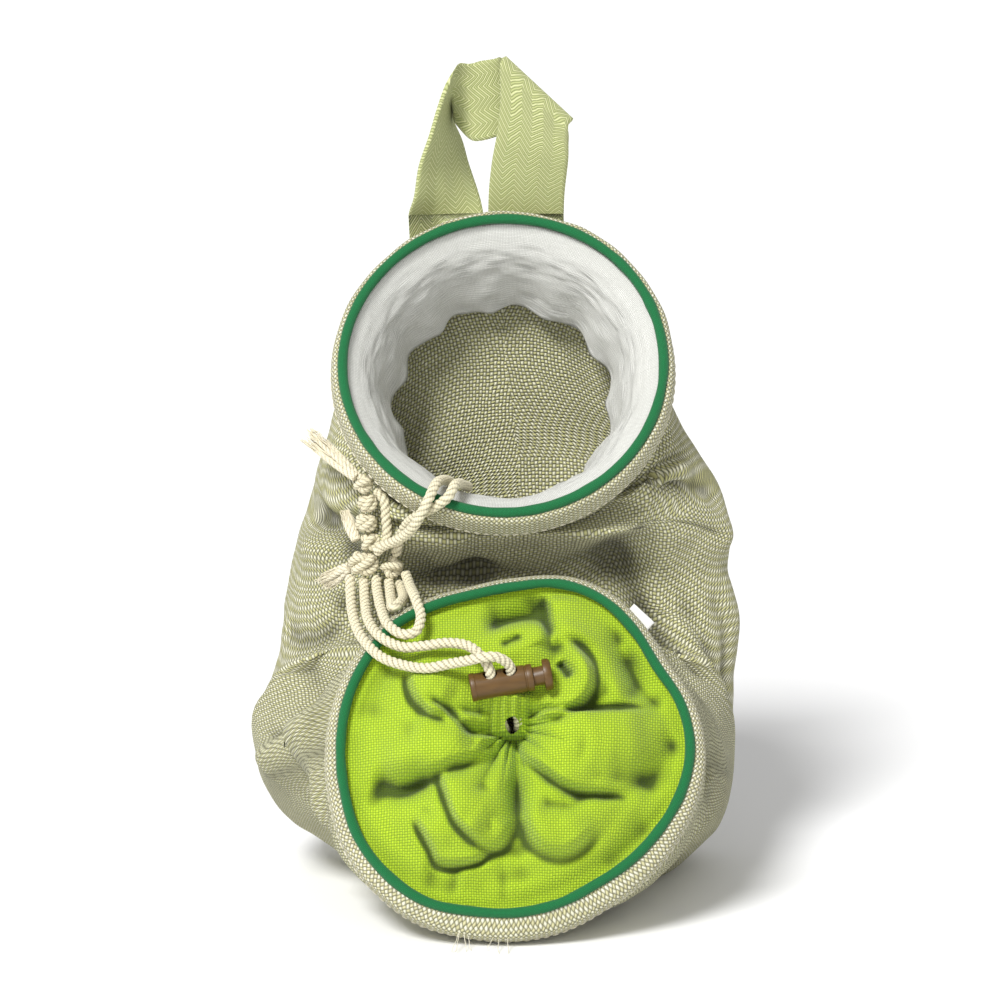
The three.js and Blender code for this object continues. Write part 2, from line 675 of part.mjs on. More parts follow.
function knotGeometry(knot) {
  const geometry = new THREE.SphereGeometry(1, 8, 6);
  const place = geometry.getAttribute("position");
  for (let i = 0; i < place.count; i++) {
    const point = vector().fromBufferAttribute(place, i);
    const turn = Math.atan2(point.z, point.x);
    const lump = 1 - 0.05 * (1 + Math.cos(2 * turn + knot.wraps * point.y)) * Math.hypot(point.x, point.z);
    point.multiplyScalar(lump).multiply(vector(knot.wide, knot.high, knot.deep));
    place.setXYZ(i, point.x, point.y, point.z);
  }
  geometry.scale(cordDiameter, cordDiameter, cordDiameter).rotateX(Math.PI / 2);
  return geometry.translate(knot.x, knot.y, knot.z);
}

// Frayed ends: from the knot to the tip in mm, with locks that spread to a half width there.
const frayedEnds = table(
  ["name", "fromX", "fromY", "fromZ", "toX", "toY", "toZ", "spread"],
  [
    ["frayed_end_top", -46.4, -0.9, 139.4, -62.4, 12.0, 150.6, 3.0],
    ["frayed_end_middle", -46.6, -4.8, 119.4, -50.3, 0.6, 127.6, 1.6],
    ["frayed_end_low", -49.0, -4.8, 110.3, -57.6, 2.6, 103.2, 2.8],
  ],
);
const fringeLocks = 3;

function frayedGeometry(end) {
  const from = vector(end.fromX, end.fromY, end.fromZ);
  const to = vector(end.toX, end.toY, end.toZ);
  const onward = to.clone().sub(from);
  const wide = onward.clone().cross(vector(0, 1, 0)).normalize();
  const deep = wide.clone().cross(onward).normalize();
  const lock = (n) => {
    const place = (2 * n) / (fringeLocks - 1) - 1;
    const tip = to.clone().addScaledVector(wide, place * end.spread);
    tip.addScaledVector(onward, -0.1 * Math.abs(place) + 0.06 * (n % 2));
    const rings = [0, 0.4, 0.75, 1].map((t) => {
      const middle = from.clone().addScaledVector(onward, t * 0.999);
      middle.lerp(from.clone().lerp(tip, t), lerp(0.45, 1, t));
      const radius = cordDiameter * lerp(0.38, 0.22, t);
      return Array.from({ length: 5 }, (_, i) => {
        const turn = (2 * i * Math.PI) / 5;
        const edge = middle.clone().addScaledVector(wide, radius * Math.cos(turn));
        return edge.addScaledVector(deep, radius * Math.sin(turn));
      });
    });
    return solid(cappedLoft(rings));
  };
  const locks = Array.from({ length: fringeLocks }, (_, n) => lock(n));
  return geometryOf(locks.reduce((made, one) => made.add(one)));
}

// The care label stands out of the seam behind the sleeve's hem.
function labelGeometry() {
  const reach = sleeve.outer(labelAngle) + gap + labelHeight / 2;
  const radial = sleeve.point(labelAngle, 1, 0).sub(sleeve.centre).normalize();
  const frame = new THREE.Matrix4().makeBasis(radial.clone().cross(sleeve.out), radial, sleeve.out);
  frame.setPosition(sleeve.point(labelAngle, reach, gap + labelThickness / 2));
  return new THREE.BoxGeometry(labelWidth, labelHeight, labelThickness).applyMatrix4(frame);
}

const canvas = new THREE.MeshStandardMaterial({ color: 0xb9b08c, roughness: 0.95 });
const piping = new THREE.MeshStandardMaterial({ color: 0x0b7a4a, roughness: 0.85 });
const lime = new THREE.MeshStandardMaterial({ color: 0xa5c81e, roughness: 0.9 });
const white = new THREE.MeshStandardMaterial({ color: 0xe8e6df, roughness: 0.9 });
const tape = new THREE.MeshStandardMaterial({ color: 0xcbd7a0, roughness: 0.9 });
const cotton = new THREE.MeshStandardMaterial({ color: 0xd9d0b4, roughness: 0.95 });
const plastic = new THREE.MeshStandardMaterial({ color: 0x8a6a3c, roughness: 0.45 });

const bag = new THREE.Group();

function addMesh(name, geometry, material, parent = bag) {
  const mesh = new THREE.Mesh(geometry, material);
  mesh.name = name;
  parent.add(mesh);
}

addMesh("sack", sackGeometry(), canvas);
addMesh("sleeve_hem", ringPiece(sleeve, hemSection(sleeve)), canvas);
addMesh("sleeve_piping", ringPiece(sleeve, pipingSection()), piping);
addMesh("sleeve_closure", closureGeometry(), lime);
addMesh("mouth_hem", ringPiece(mouth, hemSection(mouth)), canvas);
addMesh("mouth_piping", ringPiece(mouth, pipingSection()), piping);
addMesh("mouth_lining", liningGeometry(), white);
addMesh("hanging_loop", loopGeometry(), tape);
addMesh("care_label", labelGeometry(), white);

const lock = new THREE.Group();
lock.applyMatrix4(lockFrame());
bag.add(lock);
addMesh("toggle_barrel", barrelGeometry(), plastic, lock);
addMesh("toggle_plunger", plungerGeometry(), plastic, lock);

for (const [name, points] of Object.entries(cordRoutes)) {
  addMesh(name, cordGeometry(points), cotton);
}
for (const knot of knots) addMesh(knot.name, knotGeometry(knot), cotton);
for (const end of frayedEnds) addMesh(end.name, frayedGeometry(end), cotton);

export default bag;
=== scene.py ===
"""The looks of the garlic storage bag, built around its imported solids.

Everything is worked out in millimetres in the part's own frame and turned to metres where a mesh
is made. +X is to the right, +Y to the back and +Z up.
"""

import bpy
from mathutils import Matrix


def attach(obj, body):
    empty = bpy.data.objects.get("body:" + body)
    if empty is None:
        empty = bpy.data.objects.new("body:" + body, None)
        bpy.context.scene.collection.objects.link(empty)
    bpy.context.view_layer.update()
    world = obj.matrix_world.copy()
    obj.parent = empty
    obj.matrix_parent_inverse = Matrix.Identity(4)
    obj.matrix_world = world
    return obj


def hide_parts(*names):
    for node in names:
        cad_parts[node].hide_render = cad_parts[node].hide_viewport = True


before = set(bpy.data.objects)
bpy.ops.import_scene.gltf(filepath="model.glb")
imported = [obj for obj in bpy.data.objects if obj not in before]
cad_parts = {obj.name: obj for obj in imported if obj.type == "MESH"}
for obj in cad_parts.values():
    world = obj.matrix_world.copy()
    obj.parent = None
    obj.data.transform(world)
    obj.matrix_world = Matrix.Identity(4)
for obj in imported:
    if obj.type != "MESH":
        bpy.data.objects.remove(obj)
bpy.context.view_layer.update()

import logging
import math
from dataclasses import dataclass, field
from enum import Enum

import bmesh
import bpy
import numpy as np
from mathutils import Matrix, Vector

log = logging.getLogger("garlic_bag")

METRES = 0.001
BODY = "bag"

# Sizes that several pieces share, in mm
GAP = 0.35  # left between two pieces that touch
CORD_DIAMETER = 3.4
HEM_HEIGHT = 9.8
PIPING_DIAMETER = 3.2
SEAM_RISE = HEM_HEIGHT - PIPING_DIAMETER / 2 - GAP  # where cloth meets the piping, along its ring's axis

Array = np.ndarray
Colour = tuple[float, float, float]


# Shapes


def cubic(a: Array, b: Array, c: Array, d: Array, t: Array) -> Array:
    """A cubic from b to c with the slopes that a and d give, at t from 0 to 1."""
    start, end = (c - a) / 2, (d - b) / 2
    bend = -3 * b - 2 * start + 3 * c - end
    return b + start * t + bend * t**2 + (2 * b + start - 2 * c + end) * t**3


def blend(rows: Array, t: Array) -> Array:
    """The rows of a table blended smoothly.

    Args:
        rows: The table, one row per station.
        t: Places from 0 at the first row to 1 at the last.

    Returns:
        One blended row for each place.
    """
    last = len(rows) - 1
    place = np.clip(t, 0, 1) * last
    i = np.minimum(np.floor(place).astype(int), last - 1)
    near = [rows[np.clip(i + k, 0, last)] for k in (-1, 0, 1, 2)]
    return cubic(*near, (place - i).reshape(place.shape + (1,) * (rows.ndim - 1)))


def round_share(shares: Array, angle: Array) -> Array:
    """The share at an angle in degrees of a closed outline with evenly spaced rows."""
    count = len(shares)
    place = np.mod(np.asarray(angle, float) / 360, 1) * count
    i = np.floor(place).astype(int)
    return cubic(*[shares[np.mod(i + k, count)] for k in (-1, 0, 1, 2)], place - i)


def smoothstep(value: Array, low: float, high: float) -> Array:
    """0 below low, 1 above high and smooth between them."""
    t = np.clip((value - low) / (high - low), 0, 1)
    return t * t * (3 - 2 * t)


def window(value: Array, middle: float, reach: float) -> Array:
    """1 near the middle, and falling to 0 beyond the reach on both sides."""
    return np.exp(-(((value - middle) / reach) ** 4))


def ripple(around: Array, along: Array, seed: int, low: float, high: float) -> Array:
    """Seeded waves over a sheet that close up round it.

    Args:
        around: Share of the way round, 0 to 1.
        along: Share of the way along, 0 to 1.
        seed: Seed of the draw.
        low: Fewest waves over the sheet.
        high: Most waves over the sheet.

    Returns:
        The height at each place, mostly from -1 to 1.
    """
    rng = np.random.default_rng(seed)
    count = 30
    total = np.zeros(np.broadcast(around, along).shape)
    for _ in range(count):
        heading, waves = rng.uniform(0, 2 * math.pi), rng.uniform(low, high)
        turns = round(waves * math.cos(heading))
        phase = 2 * math.pi * rng.random()
        total += np.cos(2 * math.pi * (turns * around + waves * math.sin(heading) * along) + phase)
    return total / math.sqrt(count)


@dataclass(frozen=True)
class Crease:
    """A crisp fold along a line, in mm.

    points: places on the sheet. rise: its height, negative for a valley. left, right: how far it
    reaches to each side of its way. groove: depth of the shadow line beside its steeper side.
    taper: share of its length over which each end fades. sharp: 2 for a round top, less for a
    sharper one. beside: how many reaches away the shadow line lies.
    """

    points: tuple[tuple[float, float], ...]
    rise: float
    left: float
    right: float
    groove: float = 0.0
    taper: float = 0.24
    sharp: float = 1.7
    beside: float = 1.8

    def height(self, x: Array, y: Array, wrap: float = 0.0) -> Array:
        """The height that the crease adds at places x, y of a sheet that closes after wrap mm."""
        line = blend(np.array(self.points, float), np.linspace(0, 1, 4 * len(self.points)))
        if wrap:
            x = x + wrap * np.round((line[:, 0].mean() - x) / wrap)
        nearest = np.full(x.shape, np.inf)
        side, share = np.zeros(x.shape), np.zeros(x.shape)
        lengths = np.linalg.norm(np.diff(line, axis=0), axis=1)
        run = 0.0
        for start, edge, length in zip(line, np.diff(line, axis=0), lengths):
            dx, dy = x - start[0], y - start[1]
            t = np.clip((dx * edge[0] + dy * edge[1]) / length**2, 0, 1)
            distance = np.hypot(dx - t * edge[0], dy - t * edge[1])
            closer = distance < nearest
            nearest = np.where(closer, distance, nearest)
            side = np.where(closer, edge[0] * dy - edge[1] * dx, side)
            share = np.where(closer, (run + t * length) / lengths.sum(), share)
            run += length
        ends = smoothstep(np.minimum(share, 1 - share), -0.01, self.taper)
        reach = np.where(side > 0, self.left, self.right)
        made = self.rise * np.exp(-((nearest / reach) ** self.sharp))
        steep = min(self.left, self.right)
        on_steep = (side > 0) == (self.left < self.right)
        made -= self.groove * on_steep * np.exp(-(((nearest - self.beside * steep) / steep) ** 2))
        return made * ends


def normals_of(grid: Array) -> Array:
    """Unit normals of a sheet that closes round its columns, facing out of a tube."""
    aside = np.roll(grid, -1, axis=1) - np.roll(grid, 1, axis=1)
    onward = np.gradient(grid, axis=0)
    made = np.cross(onward, aside)
    return made / np.maximum(np.linalg.norm(made, axis=2, keepdims=True), 1e-9)


def painted_shade_of(grid: Array, normals: Array, reach: int, depth: float) -> Array:
    """How far each place lies in a valley of the sheet, from 0 to 1, used as painted shade.

    Args:
        grid: The sheet's points.
        normals: Its outward normals.
        reach: How many steps to each side it is compared with.
        depth: The depth in mm that counts as 1.

    Returns:
        One number for each point.
    """
    blurred = grid
    for axis, mode in ((1, "wrap"), (0, "edge")):
        width = [(0, 0)] * 3
        width[axis] = (reach, reach)
        padded = np.pad(blurred, width, mode=mode)
        size = grid.shape[axis]
        blurred = sum(np.take(padded, range(k, k + size), axis=axis) for k in range(2 * reach + 1))
        blurred = blurred / (2 * reach + 1)
    return np.clip(((blurred - grid) * normals).sum(axis=2) / depth, 0, 1)


def softened(height: Array, passes: int) -> Array:
    """A height field that closes round its columns, blurred a little."""
    for _ in range(passes):
        height = (np.roll(height, 1, axis=1) + 2 * height + np.roll(height, -1, axis=1)) / 4
        rows = np.pad(height, ((1, 1), (0, 0)), mode="edge")
        height = (rows[:-2] + 2 * height + rows[2:]) / 4
    return height


def catmull_rom(points: Array, step: float) -> Array:
    """A centripetal curve through points, sampled evenly every step mm."""
    ends = [2 * points[0] - points[1], *points, 2 * points[-1] - points[-2]]
    made: list[Array] = []
    for a, b, c, d in zip(ends, ends[1:], ends[2:], ends[3:]):
        gaps = [math.sqrt(np.linalg.norm(q - p)) for p, q in ((a, b), (b, c), (c, d))]
        start = (b - a) / gaps[0] - (c - a) / (gaps[0] + gaps[1]) + (c - b) / gaps[1]
        end = (c - b) / gaps[1] - (d - b) / (gaps[1] + gaps[2]) + (d - c) / gaps[2]
        t = np.linspace(0, 1, 40, endpoint=False)[:, None]
        start, end = start * gaps[1], end * gaps[1]
        bend = -3 * b + 3 * c - 2 * start - end
        made.append(b + start * t + bend * t**2 + (2 * b - 2 * c + start + end) * t**3)
    return even(np.vstack([*made, points[-1:]]), step)


def even(line: Array, step: float) -> Array:
    """A line of points spaced evenly again, about step mm apart."""
    run = np.concatenate([[0], np.cumsum(np.linalg.norm(np.diff(line, axis=0), axis=1))])
    places = np.linspace(0, run[-1], max(4, round(run[-1] / step)))
    return np.stack([np.interp(places, run, line[:, k]) for k in range(3)], axis=1)


# Meshes


@dataclass
class Patch:
    """A sheet of points that becomes part of a mesh, with its cloth coordinates in mm."""

    grid: Array
    cloth: Array
    close_rows: bool = False
    # Painted shade for each point, from 0 to 1: how far its colour darkens in a valley.
    painted_shade: Array | None = None
    quads: Array = field(init=False)
    places: Array = field(init=False)
    turned: bool = field(init=False)

    def __post_init__(self) -> None:
        """Works out the faces, and turns them if they face inwards."""
        rows, columns = self.grid.shape[:2]
        i, j = np.meshgrid(range(rows if self.close_rows else rows - 1), range(columns), indexing="ij")
        corners = [(i, j), (i, j + 1), (i + 1, j + 1), (i + 1, j)]
        self.places = np.stack([np.stack(c, axis=-1) for c in corners], axis=2).reshape(-1, 4, 2)
        self.quads = (self.places[..., 0] % rows) * columns + self.places[..., 1] % columns
        a, b, c, d = np.moveaxis(self.grid.reshape(-1, 3)[self.quads], 1, 0)
        volume = (a * (np.cross(b, c) + np.cross(c, d))).sum()
        self.turned = bool(volume < 0)
        if self.turned:
            self.quads, self.places = self.quads[:, ::-1], self.places[:, ::-1]

    def caps(self) -> list[list[int]]:
        """Faces over both open ends."""
        if self.close_rows:
            return []
        rows, columns = self.grid.shape[:2]
        first = list(range(columns))
        last = [(rows - 1) * columns + j for j in first]
        return [first, last[::-1]] if self.turned else [first[::-1], last]


def build(name: str, patches: list[Patch], material: bpy.types.Material) -> bpy.types.Object:
    """One mesh object from its patches, in metres, with the cloth's UV map."""
    points, faces, uvs, painted_shade = [], [], [], []
    start = 0
    for patch in patches:
        flat = patch.grid.reshape(-1, 3)
        points.append(flat * METRES)
        faces += (patch.quads + start).tolist()
        uvs.append(patch.cloth[patch.places[..., 0], patch.places[..., 1]].reshape(-1, 2))
        for cap in patch.caps():
            faces.append([k + start for k in cap])
            uvs.append(patch.cloth.reshape(-1, 2)[: len(cap)])
        none = np.zeros(len(flat))
        painted_shade.append(none if patch.painted_shade is None else patch.painted_shade.reshape(-1))
        start += len(flat)
    mesh = bpy.data.meshes.new(name)
    mesh.from_pydata(np.vstack(points).tolist(), [], faces)
    layer = mesh.uv_layers.new(name="cloth")
    layer.data.foreach_set("uv", np.vstack(uvs).astype(np.float32).ravel())
    # Each point's painted shade, which darkens the colour in the sheet's valleys.
    valley = mesh.attributes.new("painted_shade", "FLOAT", "POINT")
    valley.data.foreach_set("value", np.concatenate(painted_shade).astype(np.float32))
    return show(name, mesh, material)


def show(name: str, mesh: bpy.types.Mesh, material: bpy.types.Material | None) -> bpy.types.Object:
    """A smooth object of that mesh in the scene."""
    mesh.polygons.foreach_set("use_smooth", [True] * len(mesh.polygons))
    if material:
        mesh.materials.append(material)
    made = bpy.data.objects.new(name, mesh)
    bpy.context.scene.collection.objects.link(made)
    return made


def settle(
    made: bpy.types.Object, nodes: tuple[str, ...] = (), body: str = BODY
) -> bpy.types.Object:
    """Puts a finished piece on its body, in place of the nodes that it stands for."""
    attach(made, body)
    if nodes:
        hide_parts(*nodes)
    log.info("%s: %d faces, on %s", made.name, len(made.data.polygons), body)
    return made


def applied(made: bpy.types.Object) -> bpy.types.Object:
    """The object with its modifiers worked into its mesh."""
    bpy.context.view_layer.update()
    graph = bpy.context.evaluated_depsgraph_get()
    mesh = bpy.data.meshes.new_from_object(made.evaluated_get(graph))
    made.modifiers.clear()
    made.data = mesh
    mesh.polygons.foreach_set("use_smooth", [True] * len(mesh.polygons))
    return made


# Finishes


def srgb(red: float, green: float, blue: float) -> Colour:
    """A colour given as it looks on a screen, for the shader."""
    return tuple(c / 12.92 if c < 0.04045 else ((c + 0.055) / 1.055) ** 2.4 for c in (red, green, blue))


class Weave(Enum):
    """How a cloth's yarns cross."""

    PLAIN = "plain"
    HERRINGBONE = "herringbone"


class Graph:
    """Builds the nodes of one material."""

    def __init__(self, name: str) -> None:
        """Starts an empty material."""
        self.material = bpy.data.materials.new(name)
        self.material.use_nodes = True
        self.tree = self.material.node_tree
        self.tree.nodes.clear()

    def node(self, kind: str, inputs: dict | None = None, **settings) -> bpy.types.Node:
        """A node with its settings, and its inputs by name or number set or linked."""
        made = self.tree.nodes.new(kind)
        for key, value in settings.items():
            setattr(made, key, value)
        for key, value in (inputs or {}).items():
            self.feed(made.inputs[key], value)
        return made

    def feed(self, target: bpy.types.NodeSocket, value) -> None:
        """Links a socket, or sets its value."""
        if isinstance(value, bpy.types.NodeSocket):
            self.tree.links.new(value, target)
        else:
            target.default_value = value

    def math(self, operation: str, *values) -> bpy.types.NodeSocket:
        """One sum."""
        return self.node("ShaderNodeMath", dict(enumerate(values)), operation=operation).outputs[0]

    def ridges(self, value, wave: str = "SINE") -> bpy.types.NodeSocket:
        """Rounded ridges from 0 to 1, one for each unit of the value."""
        return self.math("ABSOLUTE", self.math(wave, self.math("MULTIPLY", value, math.pi)))

    def clamped(self, value) -> bpy.types.NodeSocket:
        """The value kept from 0 to 1."""
        return self.math("MINIMUM", self.math("MAXIMUM", value, 0.0), 1.0)

    def mix(self, share, first, second) -> bpy.types.NodeSocket:
        """A colour between two."""
        made = self.node("ShaderNodeMix", data_type="RGBA")
        named = {socket.identifier: socket for socket in made.inputs}
        for key, value in (("Factor_Float", share), ("A_Color", first), ("B_Color", second)):
            if isinstance(value, tuple):
                value = (*value, 1.0)
            self.feed(named[key], value)
        return next(s for s in made.outputs if s.identifier == "Result_Color")

    def noise(self, u, v, scale: float, detail: float = 2.0) -> bpy.types.NodeSocket:
        """Noise from 0 to 1 over the cloth."""
        place = self.node("ShaderNodeCombineXYZ", {0: u, 1: v}).outputs[0]
        inputs = {"Vector": place, "Scale": scale, "Detail": detail}
        return self.node("ShaderNodeTexNoise", inputs).outputs[0]

    def cloth(self) -> tuple[bpy.types.NodeSocket, bpy.types.NodeSocket]:
        """The two cloth coordinates in mm."""
        place = self.node("ShaderNodeUVMap", uv_map="cloth").outputs[0]
        parts = self.node("ShaderNodeSeparateXYZ", {0: place})
        return parts.outputs[0], parts.outputs[1]

    def painted_shade(self) -> bpy.types.NodeSocket:
        """How deep a place lies in a valley, as painted shade that darkens its colour."""
        return self.node("ShaderNodeAttribute", attribute_name="painted_shade").outputs["Fac"]

    def close(self, colour, height, relief: float, **shader) -> bpy.types.Material:
        """Ends the material in its shader, with the height as relief in mm."""
        bump = self.node("ShaderNodeBump", {"Strength": 1.0, "Height": height})
        bump.inputs["Distance"].default_value = relief * METRES
        inputs = {"Base Color": colour, "Normal": bump.outputs[0]}
        inputs |= {key.replace("_", " ").title(): value for key, value in shader.items()}
        end = self.node("ShaderNodeBsdfPrincipled", inputs)
        out = self.node("ShaderNodeOutputMaterial")
        self.tree.links.new(end.outputs[0], out.inputs[0])
        return self.material


@dataclass(frozen=True)
class ClothFinish:
    """A woven cloth: light yarns over dark gaps, darkened partly by the weave itself and partly by painted
    shade.

    pitch, relief: distance of the yarns and depth of the bumps in mm. uneven: how much the yarns
    vary. shade: how dark the painted shade in a valley gets. drift: how many yarns the rows wander.
    patches: share of slow dark patches. stripe: width of a herringbone stripe in yarns.
    """

    name: str
    light: Colour
    weft: Colour
    gap: Colour
    pitch: float
    relief: float
    weave: Weave = Weave.PLAIN
    uneven: float = 0.25
    shade: float = 0.7
    drift: float = 1.6
    patches: float = 0.22
    stripe: float = 4.5

    def heights(self, g: Graph, u, v) -> tuple[bpy.types.NodeSocket, bpy.types.NodeSocket]:
        """The yarns' height and which of them lies on top, 0 warp or 1 weft."""
        if self.weave is Weave.HERRINGBONE:
            slant = g.math("ADD", g.math("PINGPONG", u, self.stripe), v)
            second = g.math("GREATER_THAN", g.math("FRACT", g.math("MULTIPLY", slant, 0.5)), 0.5)
            return g.ridges(slant), second
        waves = [g.ridges(u), g.ridges(v)]
        cell = g.math("ADD", g.math("FLOOR", u), g.math("FLOOR", v))
        top = g.math("GREATER_THAN", g.math("FRACT", g.math("MULTIPLY", cell, 0.5)), 0.25)
        lifts = [
            g.math("MULTIPLY", waves[k], g.math("MULTIPLY_ADD", waves[1 - k], 0.55, 0.45)) for k in (0, 1)
        ]
        step = g.math("SUBTRACT", lifts[1], lifts[0])
        return g.math("MULTIPLY_ADD", step, top, lifts[0]), top

    def material(self) -> bpy.types.Material:
        """The cloth's material."""
        g = Graph(self.name)
        u, v = g.cloth()
        drift = g.noise(u, v, 0.12)
        aside = g.math("MULTIPLY", drift, self.drift)
        wide, long = (g.math("ADD", g.math("DIVIDE", x, self.pitch), aside) for x in (u, v))
        height, top = self.heights(g, wide, long)
        slubs = g.math(
            "ADD",
            g.noise(g.math("MULTIPLY", wide, 0.12), g.math("MULTIPLY", long, 1.1), 1.0, 1.0),
            g.noise(g.math("MULTIPLY", wide, 1.1), g.math("MULTIPLY", long, 0.12), 1.0, 1.0),
        )
        swing = g.math("MULTIPLY_ADD", g.math("SUBTRACT", slubs, 1.0), self.uneven * 2.4, 1.0)
        # Colour from height: yarn tops lighter and gaps darker, partly the weave's own look and partly
        # painted shade between the yarns; swing adds the yarns' own uneven tone.
        yarn_shade_and_tone = g.math("MULTIPLY", g.math("POWER", height, 0.75), swing)
        yarn = g.mix(top, self.light, self.weft)
        colour = g.mix(g.clamped(yarn_shade_and_tone), self.gap, yarn)
        patchy = g.math("MULTIPLY", g.noise(u, v, 0.035, 3.0), self.patches)
        colour = g.mix(patchy, colour, self.gap)
        # Painted shade: the colour darkens in the sheet's valleys, towards a third of the gap colour.
        deep = tuple(c * 0.3 for c in self.gap)
        colour = g.mix(g.math("MULTIPLY", g.painted_shade(), self.shade), colour, deep)
        lift = g.math("MULTIPLY", height, swing)
        return g.close(colour, lift, self.relief, roughness=0.92, sheen_weight=0.12)


@dataclass(frozen=True)
class CordFinish:
    """Twisted cotton: plies with painted shade in the groove between them, and fine yarns on them.

    plies: how many are twisted together. yarns: their length along the cord in mm. spin: how many
    yarns lie round the cord. relief: depth of the bumps in mm.
    """

    name: str
    light: Colour
    gap: Colour
    plies: float = 3.0
    yarns: float = 0.5
    spin: float = 9.0
    relief: float = 0.28

    def material(self) -> bpy.types.Material:
        """The cord's material."""
        g = Graph(self.name)
        u, v = g.cloth()
        ply = g.ridges(g.math("MULTIPLY", u, self.plies), "COSINE")
        yarn = g.ridges(g.math("ADD", g.math("MULTIPLY", u, self.spin), g.math("DIVIDE", v, self.yarns)))
        fuzz = g.noise(g.math("MULTIPLY", u, 14.0), g.math("MULTIPLY", v, 1.2), 1.0, 3.0)
        height = g.math("MULTIPLY_ADD", yarn, 0.3, g.math("MULTIPLY", g.math("POWER", ply, 0.5), 0.7))
        # Colour from height: painted shade in the grooves between plies and yarns, with the fuzz's own
        # uneven tone.
        yarn_shade_and_tone = g.math("ADD", height, g.math("SUBTRACT", fuzz, 0.42))
        colour = g.mix(g.clamped(yarn_shade_and_tone), self.gap, self.light)
        lift = g.math("ADD", height, g.math("MULTIPLY", fuzz, 0.8))
        return g.close(colour, lift, self.relief, roughness=0.95, sheen_weight=0.15)


@dataclass(frozen=True)
class PlasticFinish:
    """Moulded brown plastic with faint wood-like streaks."""

    name: str
    light: Colour
    dark: Colour

    def material(self) -> bpy.types.Material:
        """The plastic's material."""
        g = Graph(self.name)
        place = g.node("ShaderNodeTexCoord").outputs["Object"]
        turn = g.node("ShaderNodeMapping", {"Vector": place, "Scale": (160.0, 900.0, 900.0)}).outputs[0]
        streak = g.node("ShaderNodeTexNoise", {"Vector": turn, "Scale": 1.0, "Detail": 4.0}).outputs[0]
        grain = g.node("ShaderNodeTexNoise", {"Vector": place, "Scale": 2200.0}).outputs[0]
        colour = g.mix(streak, self.dark, self.light)
        return g.close(colour, grain, 0.03, roughness=0.42)


CANVAS = ClothFinish(
    "canvas",
    light=srgb(0.99, 0.98, 0.85),
    weft=srgb(0.85, 0.84, 0.6),
    gap=srgb(0.15, 0.15, 0.05),
    pitch=1.2,
    relief=0.5,
    shade=0.85,
)
HEM_CANVAS = ClothFinish(
    "hem_canvas",
    light=srgb(0.97, 0.96, 0.86),
    weft=srgb(0.86, 0.84, 0.66),
    gap=srgb(0.3, 0.29, 0.14),
    pitch=1.15,
    relief=0.4,
)
LIME = ClothFinish(
    "lime_cloth",
    light=srgb(0.76, 0.87, 0.17),
    weft=srgb(0.7, 0.82, 0.12),
    gap=srgb(0.4, 0.52, 0.05),
    pitch=0.84,
    relief=0.2,
    uneven=0.1,
    shade=0.95,
)
PIPING = ClothFinish(
    "green_piping",
    light=srgb(0.02, 0.5, 0.27),
    weft=srgb(0.01, 0.45, 0.24),
    gap=srgb(0.0, 0.27, 0.12),
    pitch=0.45,
    relief=0.08,
    uneven=0.15,
)
LINING = ClothFinish(
    "white_lining",
    light=srgb(0.93, 0.93, 0.91),
    weft=srgb(0.9, 0.9, 0.88),
    gap=srgb(0.66, 0.66, 0.63),
    pitch=0.6,
    relief=0.1,
)
TAPE = ClothFinish(
    "loop_tape",
    light=srgb(0.85, 0.86, 0.65),
    weft=srgb(0.74, 0.76, 0.53),
    gap=srgb(0.48, 0.52, 0.28),
    pitch=0.86,
    relief=0.18,
    weave=Weave.HERRINGBONE,
    uneven=0.1,
)
LABEL = ClothFinish(
    "white_label",
    light=srgb(0.96, 0.96, 0.95),
    weft=srgb(0.94, 0.94, 0.93),
    gap=srgb(0.8, 0.8, 0.78),
    pitch=0.4,
    relief=0.04,
)
THREAD = CordFinish("thread", srgb(0.9, 0.88, 0.8), srgb(0.6, 0.56, 0.44))
COTTON = CordFinish("cotton_cord", srgb(0.9, 0.87, 0.75), srgb(0.38, 0.32, 0.19))
FRAYED = CordFinish("frayed_cotton", srgb(0.92, 0.89, 0.79), srgb(0.62, 0.56, 0.42))
PLASTIC = PlasticFinish("brown_plastic", srgb(0.42, 0.3, 0.12), srgb(0.28, 0.19, 0.06))


# Geometry Nodes


